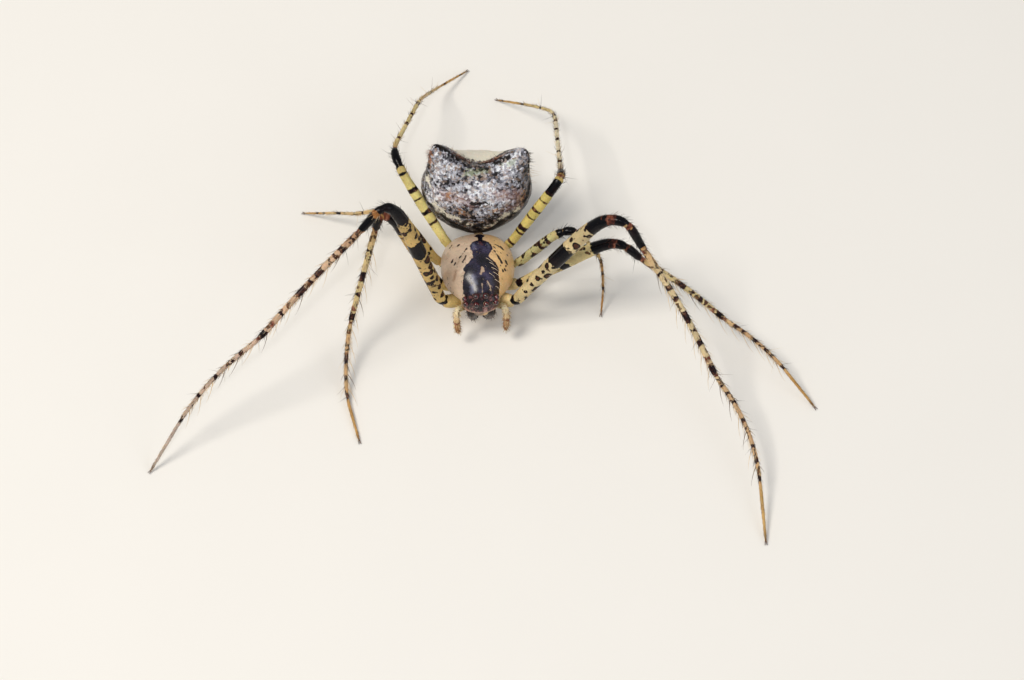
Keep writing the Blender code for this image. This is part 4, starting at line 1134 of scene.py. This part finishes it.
# Places are directions from the abdomen's middle, to its left, to the rear and upwards
rearPattern = {
    "black": (
        ((-0.60, -0.79, -0.04), (-0.46, -0.87, -0.18), 0.100),
        ((-0.46, -0.87, -0.17), (-0.24, -0.89, -0.36), 0.135),
        ((-0.12, -0.88, -0.47), (0.14, -0.88, -0.47), 0.115),
        ((-0.03, -0.99, -0.16), (0.05, -0.95, -0.32), 0.055),
        ((0.26, -0.89, -0.38), (0.46, -0.86, -0.19), 0.120),
        ((0.46, -0.86, -0.19), (0.68, -0.73, -0.07), 0.075),
        ((-0.20, -0.97, -0.01), (-0.24, -0.95, -0.10), 0.040),
        ((-0.05, -0.98, 0.14), (-0.02, -0.99, 0.05), 0.035),
        ((0.26, -0.96, 0.05), (0.30, -0.95, -0.08), 0.040),
        ((0.36, -0.92, 0.18), (0.40, -0.91, 0.10), 0.035),
        ((-0.07, -0.85, 0.53), (0.18, -0.85, 0.51), 0.030),
        ((-0.95, -0.28, 0.10), (-0.80, -0.58, 0.05), 0.07),
        ((-0.74, 0.02, 0.67), (-0.76, -0.02, 0.64), 0.035),
        ((-0.90, -0.25, 0.36), (-0.88, -0.30, 0.36), 0.05),
        ((-0.26, 0.12, 0.96), (-0.10, 0.20, 0.97), 0.075), ((0.08, 0.22, 0.97), (0.30, 0.16, 0.94), 0.075),
        ((-0.44, 0.20, 0.88), (-0.24, 0.10, 0.96), 0.095), ((0.26, 0.06, 0.96), (0.38, 0.02, 0.92), 0.055),
        ((0.46, 0.40, 0.80), (0.66, 0.36, 0.66), 0.08), ((0.70, 0.18, 0.70), (0.84, 0.04, 0.54), 0.07),
        ((-0.36, 0.08, 0.92), (-0.14, -0.04, 0.99), 0.050), ((0.02, 0.02, 1.0), (0.14, 0.04, 0.99), 0.045),
        ((0.93, -0.10, 0.34), (0.86, -0.48, 0.10), 0.07), ((0.06, -0.20, 0.97), (0.20, -0.10, 0.97), 0.030),
        ((0.30, -0.30, 0.90), (0.36, -0.26, 0.89), 0.025),
    ),
    "cream": (
        ((-0.74, -0.64, 0.20), (-0.54, -0.84, 0.00), 0.085),
        ((-0.66, -0.74, 0.06), (-0.36, -0.92, 0.06), 0.075),
        ((-0.36, -0.92, 0.04), (-0.12, -0.98, -0.10), 0.050),
        ((0.20, -0.95, -0.20), (0.50, -0.84, 0.02), 0.060),
        ((0.50, -0.84, 0.04), (0.74, -0.66, 0.06), 0.075), ((-0.18, 0.70, 0.62), (0.22, 0.70, 0.62), 0.40),
        ((-0.84, -0.10, 0.50), (-0.80, -0.30, 0.52), 0.05),
    ),
    "rust": (
        ((-0.62, 0.12, 0.78), (-0.70, 0.00, 0.70), 0.075), ((0.74, 0.20, 0.64), (0.84, 0.0, 0.52), 0.06),
        ((-0.16, 0.30, 0.94), (-0.10, 0.26, 0.96), 0.05), ((0.16, 0.32, 0.93), (0.28, 0.28, 0.91), 0.06),
        ((0.84, -0.44, 0.32), (0.82, -0.54, 0.06), 0.060),
        ((-0.51, -0.62, 0.60), (-0.47, -0.72, 0.51), 0.030),
        ((-0.26, -0.93, 0.26), (-0.22, -0.95, 0.20), 0.030),
        ((-0.30, -0.88, 0.37), (-0.28, -0.90, 0.32), 0.025),
        ((0.30, -0.90, 0.30), (0.36, -0.88, 0.26), 0.022),
    ),
    "green": (
        ((-0.11, -0.32, 0.94), (0.14, -0.18, 0.97), 0.075),
        ((0.40, -0.06, 0.92), (0.50, -0.10, 0.86), 0.04),
    ),
    "rose": (
        ((-0.55, -0.62, 0.55), (-0.10, -0.84, 0.52), 0.16),
        ((0.42, -0.66, 0.62), (0.74, -0.52, 0.40), 0.18), ((0.55, -0.78, 0.24), (0.74, -0.62, 0.18), 0.12),
    ),
    # partly the skin's own paler parts, partly painted light: the front face and the humps' sides are taken
    # lighter where the light falls on them
    "light": (
        ((-0.70, -0.52, 0.45), (0.45, -0.62, 0.66), 0.36), ((0.1, -0.95, 0.3), (0.2, -0.9, 0.4), 0.2),
        ((-0.62, -0.40, 0.68), (-0.48, 0.00, 0.88), 0.22), ((0.45, -0.50, 0.74), (0.50, 0.04, 0.86), 0.24),
    ),
}


def abdomenPoints(directions):
    size = np.array(rearBody["size"])
    points = directions * size
    points[:, 0] *= 1 + rearBody["shoulderTaper"] * directions[:, 2]
    for way, rise, spread in rearBody["bumps"]:
        way = np.array(Vector(way).normalized())
        apart = np.arccos(np.clip(directions @ way, -1, 1))
        points += way * (rise * np.exp(-((apart / spread) ** 2)))[:, None]
    return points + np.array(bodyPlace + Vector(rearBody["middle"]))


def rearMarks(directions):
    marks = {name: strokeReach(directions, strokes) for name, strokes in rearPattern.items()}
    marks["light"] = np.clip(marks["light"] / 0.42, -0.6, 1.0)
    # painted shade: the lightness is taken down along the left edge, where shade falls
    marks["light"] -= np.clip((directions[:, 0] - 0.80) * 3, 0, 1) * 0.6       # darker down its left edge
    marks["light"] -= np.clip((directions[:, 1] - 0.10) * 2, 0, 1) * 0.15
    return marks


def makeAbdomenSkin():
    # Soft, thin skin packed with grains of guanine: matt, speckled white and grey like coarse sand
    material, tree, shader, here = newMaterial("abdomenSkin", 0.5, Subsurface_Weight=0.08,
                                               Subsurface_Scale=0.0001)
    marks = readMarks(tree, rearPattern)
    ragged, clouds, dust = (
        addNode(tree, "TexNoise", {"Vector": here, "Scale": perMm(count), "Detail": detail})
        for count, detail in ((8, 3.0), (2.2, 3.0), (34, 2.0)))
    jitter = addNode(tree, "TexNoise", {"Vector": here, "Scale": perMm(13), "Detail": 2.0}, out="Color")
    pushed = addNode(tree, "VectorMath", {0: jitter, "Scale": 0.09 * metre}, operation="SCALE")
    moved = addNode(tree, "VectorMath", {0: here, 1: pushed})
    grains = addNode(tree, "TexVoronoi", {"Vector": moved, "Scale": perMm(17)}).node.outputs
    chance = addNode(tree, "SeparateColor", {"Color": grains["Color"]}).node.outputs
    # each grain's lightness: its own chance, the clouds, and how light this part of the abdomen is, which is
    # partly its own paleness and partly painted light and shade
    level = addNode(tree, "MapRange", {0: marks["light"], 1: -0.6, 2: 1.0, 3: -0.42, 4: 0.32})
    own = addNode(tree, "MapRange", {0: chance["Red"], 3: 0.20, 4: 0.82})
    level = addNode(tree, "Math", {0: own, 1: level}, operation="ADD")
    for pattern, strength in ((clouds, 0.18), (ragged, 0.16), (dust, 0.14)):
        drift = addNode(tree, "MapRange", {0: pattern, 1: 0.3, 2: 0.7, 3: -strength, 4: strength})
        level = addNode(tree, "Math", {0: level, 1: drift}, operation="ADD")
    speckle = addNode(tree, "ValToRGB", {"Fac": level}, stops=(
        (0.06, "#141316"), (0.22, "#434046"), (0.36, "#777780"), (0.52, "#a5a6b0"), (0.70, "#ced1da"),
        (0.90, "#f3f4f8")))
    warm = addNode(tree, "MapRange", {0: chance["Green"], 1: 0.70, 2: 0.80, 4: 0.5})
    skin = addNode(tree, "Mix", {0: warm, 6: speckle, 7: "#a98f7a"}, out=2, data_type="RGBA")
    tear = addNode(tree, "MapRange", {0: ragged, 1: 0.3, 2: 0.7, 3: -0.06, 4: 0.06})
    coarse = addNode(tree, "MapRange", {0: chance["Blue"], 3: -0.045, 4: 0.045})
    tear = addNode(tree, "Math", {0: tear, 1: coarse}, operation="ADD")
    rust = addNode(tree, "ValToRGB", {"Fac": ragged}, stops=(
        (0.35, "#5d2c22"), (0.50, "#96603a"), (0.65, "#c9a078")))
    for name, colour, low, high, share in (
            ("rose", "#b08078", -0.02, 0.12, 0.34), ("green", "#b4bf9e", -0.01, 0.03, 0.45),
            ("cream", "#ece6d4", -0.01, 0.02, 0.85), ("rust", rust, -0.01, 0.02, 0.75),
            ("black", "#15100f", -0.005, 0.02, 0.96)):
        skin, _ = lay(tree, skin, marks[name], tear, colour, low, high, share)
    # white grains stand up a little from the skin between them
    bump = addNode(tree, "Bump", {"Height": grains["Distance"], "Strength": 0.5, "Distance": 0.012 * metre},
                   invert=True)
    gloss = addNode(tree, "MapRange", {0: level, 1: 0.2, 2: 0.9, 3: 0.38, 4: 0.55})
    # the black patches swallow the light, also at the outline
    shine = addNode(tree, "MapRange", {0: marks["black"], 1: -0.02, 2: 0.02, 3: 0.25, 4: 0.03})
    setInputs(shader, {"Base Color": skin, "Roughness": gloss, "Specular IOR Level": shine, "Normal": bump})
    return material


abdomenCoat = {
    "count": 4200, "length": (0.03, 0.06), "thickness": 0.0045, "humpLength": 2.0, "lean": 2.6,
    "sunk": 0.008,
    "pale": ("#dcdde2", "#b2b3ba", "#86868c"), "dark": "#100c0b", "rust": "#9a5a32", "cream": "#eee3c9",
    # tufts beside the saddle and on the humps, and pale hairs on the left edge: direction, how many, spread,
    # length and colours
    "tufts": (
        ((-0.18, 0.18, 0.97), 130, 0.12, (0.08, 0.16), ("#1a100d", "#6b2a1a")),
        ((0.20, 0.22, 0.95), 130, 0.12, (0.08, 0.16), ("#1a100d", "#6b2a1a")),
        ((0.90, -0.05, 0.44), 14, 0.16, (0.20, 0.34), ("#eee0c8", "#d8c4a4")),
        ((-0.62, 0.18, 0.76), 70, 0.13, (0.08, 0.16), ("#1a100d", "#8a4a24")),
        ((0.78, 0.16, 0.62), 70, 0.13, (0.08, 0.16), ("#1a100d", "#3a2018")),
    ),
}


def abdomenBristles(middles, normals, areas, directions):
    chance = np.random.default_rng(23)
    marks = rearMarks(directions)
    bristles = []

    def grow(face, length, colour, thickness):
        down = Vector((chance.normal(0, 0.4), 0.25, -0.6 + chance.normal(0, 0.3)))
        way = (Vector(normals[face]) + down * abdomenCoat["lean"]).normalized()
        x, y, z = directions[face]
        place = (0.5 + math.atan2(x, -y) / (2 * math.pi), 0.5 + math.asin(max(-1.0, min(1.0, z))) / math.pi)
        root = Vector(middles[face] - normals[face] * abdomenCoat["sunk"])
        bristles.append((root, way, down * 0.15, length, thickness, linearColour(colour), place))

    bare = areas * np.where(marks["black"] > -0.02, 0.25, 1.0)
    for face in chance.choice(len(areas), abdomenCoat["count"], p=bare / bare.sum()):
        length = chance.uniform(*abdomenCoat["length"])
        length *= 1 + (abdomenCoat["humpLength"] - 1) * smoothStep(*rearBody["humpFuzz"], middles[face][2])
        colour = abdomenCoat["pale"][chance.integers(3)]
        for name in ("cream", "rust", "black"):
            if marks[name][face] > 0:
                colour = abdomenCoat["dark" if name == "black" else name]
        grow(face, length, colour, abdomenCoat["thickness"])
    for way, count, spread, lengths, colours in abdomenCoat["tufts"]:
        near = np.exp(-((1 - directions @ np.array(Vector(way).normalized())) * 2 / spread ** 2)) * areas
        for face in chance.choice(len(areas), count, p=near / near.sum()):
            grow(face, chance.uniform(*lengths), colours[chance.integers(2)], abdomenCoat["thickness"] * 1.25)
    return bristles


def makeRearBody():
    bm = bmesh.new()
    bmesh.ops.create_icosphere(bm, subdivisions=6, radius=1.0)
    directions = unitRows(np.array([vert.co for vert in bm.verts]))
    points = abdomenPoints(directions)
    for vert, point, way in zip(bm.verts, points, directions):
        vert.co = point
        crust = smoothStep(*rearBody["crustHeights"], point[2]) * rearBody["humpCrust"]
        rise = sum(noise.noise(vert.co * count) * height for count, height in rearBody["grains"])
        vert.co += Vector(way) * (rise + crust * noise.noise(vert.co * 6.0))
    mesh = meshFrom("rearBody", bm)
    stampMarks(mesh, rearMarks(directions))
    middles, normals, areas = facesOf(mesh)
    corners = np.array([face.vertices for face in mesh.polygons])
    faceWays = unitRows(directions[corners].mean(axis=1))
    bristles = abdomenBristles(middles, normals, areas, faceWays)
    addPiece("rearBody", mesh, makeAbdomenSkin(), ["abdomen"])
    growBristles("rearBodyBristles", bristles, bristleHorn)


def makeWaist():
    # Thin cuticle of the waist and the spinnerets, brown and dull, wrinkled across
    material, tree, shader, here = newMaterial("waistCuticle", 0.48)
    clouds, folds = (addNode(tree, "TexNoise", {"Vector": here, "Scale": perMm(count), "Detail": detail})
                     for count, detail in ((5, 3.0), (16, 2.0)))
    colour = addNode(tree, "ValToRGB", {"Fac": clouds}, stops=(
        (0.34, "#3f2a1d"), (0.50, "#7a5536"), (0.66, "#b08a5c")))
    bump = addNode(tree, "Bump", {"Height": folds, "Strength": 0.4, "Distance": 0.010 * metre})
    setInputs(shader, {"Base Color": colour, "Normal": bump})
    start, end = (bodyPlace + Vector(point) for point in rearBody["pedicel"])
    path = [start.lerp(end, k / 40) for k in range(41)]
    radii = [rearBody["pedicelThickness"] * (0.90 + 0.10 * math.cos(k * 1.1)) for k in range(41)]
    bm = bmesh.new()
    wrapLimb(bm, path, closeEnds(radii), 28)
    finishPiece("waist", bm, material, ["pedicel"])
    return material


# Spinnerets: three pairs of short cones on one base, each with a fringe of bristles
spinnerets = {
    "place": (0.0, 2.52, 0.74), "way": (0.0, 0.45, -0.89),
    "base": ((-0.25, 0.110), (0.12, 0.128), (0.17, 0.090)),
    "length": 0.29, "radius": 0.070, "taper": 0.50, "sunk": 0.05,
    "pairs": ((-0.09, 0.090, 1.0, 1.0), (0.0, 0.054, 0.7, 0.7), (0.09, 0.090, 1.0, 0.9)),
    "hair": ((0.04, 0.09), "#3a2418", "#b89a70"),
}


def makeSpinnerets(material):
    root, way = bodyPlace + Vector(spinnerets["place"]), Vector(spinnerets["way"]).normalized()
    bm = bmesh.new()
    stations = spinnerets["base"]
    low, high = stations[0][0], stations[-1][0]
    steps = [low + (high - low) * k / 24 for k in range(25)]
    radii = [profileAt(stations, step) for step in steps]
    wrapLimb(bm, [root + way * step for step in steps], closeEnds(radii), 36)
    tips = []
    for shift, aside, length, thickness in spinnerets["pairs"]:
        for side in (1.0, -1.0):
            foot = root + Vector((side * aside, shift, 0.0)) - way * spinnerets["sunk"]
            reach = spinnerets["sunk"] + spinnerets["length"] * length
            path = [foot + way * reach * k / 20 for k in range(21)]
            radii = [spinnerets["radius"] * thickness * (1 - (1 - spinnerets["taper"]) * (k / 20) ** 1.5
                                                         - 0.12 * (k == 11)) for k in range(21)]
            wrapLimb(bm, path, closeEnds(radii), 24)
            tips.append((path, radii))
    finishPiece("spinneretCluster", bm, material, ["spinnerets"])
    for i, (path, radii) in enumerate(tips):
        coatLimb(f"spinneret{i + 1}Bristles", path, radii, 1.0, 5, spinnerets["hair"],
                 range(6, 19))


# Claws: two small hooks on each foot, on which the spider stands
claws = {
    "length": 0.13, "thickness": 0.014, "taper": 0.85, "apart": 0.022, "sunk": 0.03, "curl": 1.9,
    "tipHeight": 0.012,
}


def makeClaws():
    # Horn of the claws, almost black at the root and amber where it is thin
    material, tree, shader, here = newMaterial("clawHorn", 0.3, Coat_Weight=0.3)
    streaks = addNode(tree, "TexNoise", {"Vector": here, "Scale": perMm(20), "Detail": 2.0})
    colour = addNode(tree, "ValToRGB", {"Fac": streaks}, stops=((0.35, "#1c0f0a"), (0.65, "#6a3c1e")))
    setInputs(shader, {"Base Color": colour})
    shares = [k / 12 for k in range(13)]
    for (sideName, number), line in legLines.items():
        foot = line[-1][0]
        along = (foot - line[-3][0]).normalized()
        flat = Vector((along.x, along.y, 0)).normalized()
        aside = Vector((-flat.y, flat.x, 0))
        bm = bmesh.new()
        for side in (-1, 1):
            path = []
            for share in shares:
                reach = claws["length"] * math.sin(share * claws["curl"]) / 1.3 - claws["sunk"]
                point = foot + along.lerp(flat, share) * reach + aside * side * claws["apart"] * (0.5 + share)
                point.z = foot.z + (claws["tipHeight"] - foot.z) * share ** 1.6
                path.append(point)
            radii = [claws["thickness"] * (1 - claws["taper"] * share) for share in shares]
            wrapLimb(bm, path, closeEnds(radii, 2), 10)
        finishPiece(f"{sideName}Foot{number}Claws", bm, material)


makeRearBody()
makeSpinnerets(makeWaist())
makeClaws()


# Studio: a plain pale floor and soft light from above, mostly from the spider's left
studio = {"floor": 400.0, "floorColours": ("#f0eee9", "#f1efea"), "world": 0.39}


def makeStudio():
    bm = bmesh.new()
    bmesh.ops.create_grid(bm, x_segments=1, y_segments=1, size=studio["floor"] * metre)
    # Matt cartridge paper, off-white, with the faint unevenness of its pulp
    material, tree, shader, here = newMaterial("studioPaper", 0.9)
    pulp = addNode(tree, "TexNoise", {"Vector": here, "Scale": perMm(0.3), "Detail": 4.0})
    colour = addNode(tree, "ValToRGB", {"Fac": pulp}, stops=zip((0.3, 0.7), studio["floorColours"]))
    setInputs(shader, {"Base Color": colour})
    mesh = meshFrom("studioFloor", bm)
    mesh.materials.append(material)
    floor = bpy.data.objects.new("studioFloor", mesh)
    bpy.context.scene.collection.objects.link(floor)


makeStudio()

lights = {
    "key": {"place": (-60, -14, 112), "size": 42, "watts": 0.094, "colour": "#fff8ee"},
    "fill": {"place": (90, -60, 80), "size": 80, "watts": 0.028, "colour": "#f2f5ff"},
    "sparkle": {"place": (-12, -62, 118), "size": 8, "watts": 0.016, "colour": "#ffffff"},     # for the eyes
}


def makeLights():
    aim = bodyPlace * metre
    for name, light in lights.items():
        data = bpy.data.lights.new(name, "AREA")
        data.size = light["size"] * metre
        data.energy = light["watts"]
        data.color = linearColour(light["colour"])[:3]
        lamp = bpy.data.objects.new(name, data)
        lamp.location = Vector(light["place"]) * metre
        lamp.rotation_euler = (lamp.location - aim).to_track_quat("Z", "Y").to_euler()
        bpy.context.scene.collection.objects.link(lamp)
    world = bpy.data.worlds.new("studio")
    world.use_nodes = True
    setInputs(world.node_tree.nodes["Background"], {"Color": "#ffffff", "Strength": studio["world"]})
    bpy.context.scene.world = world
    bpy.context.scene.view_settings.view_transform = "Standard"      # colours come out as their hex values


makeLights()
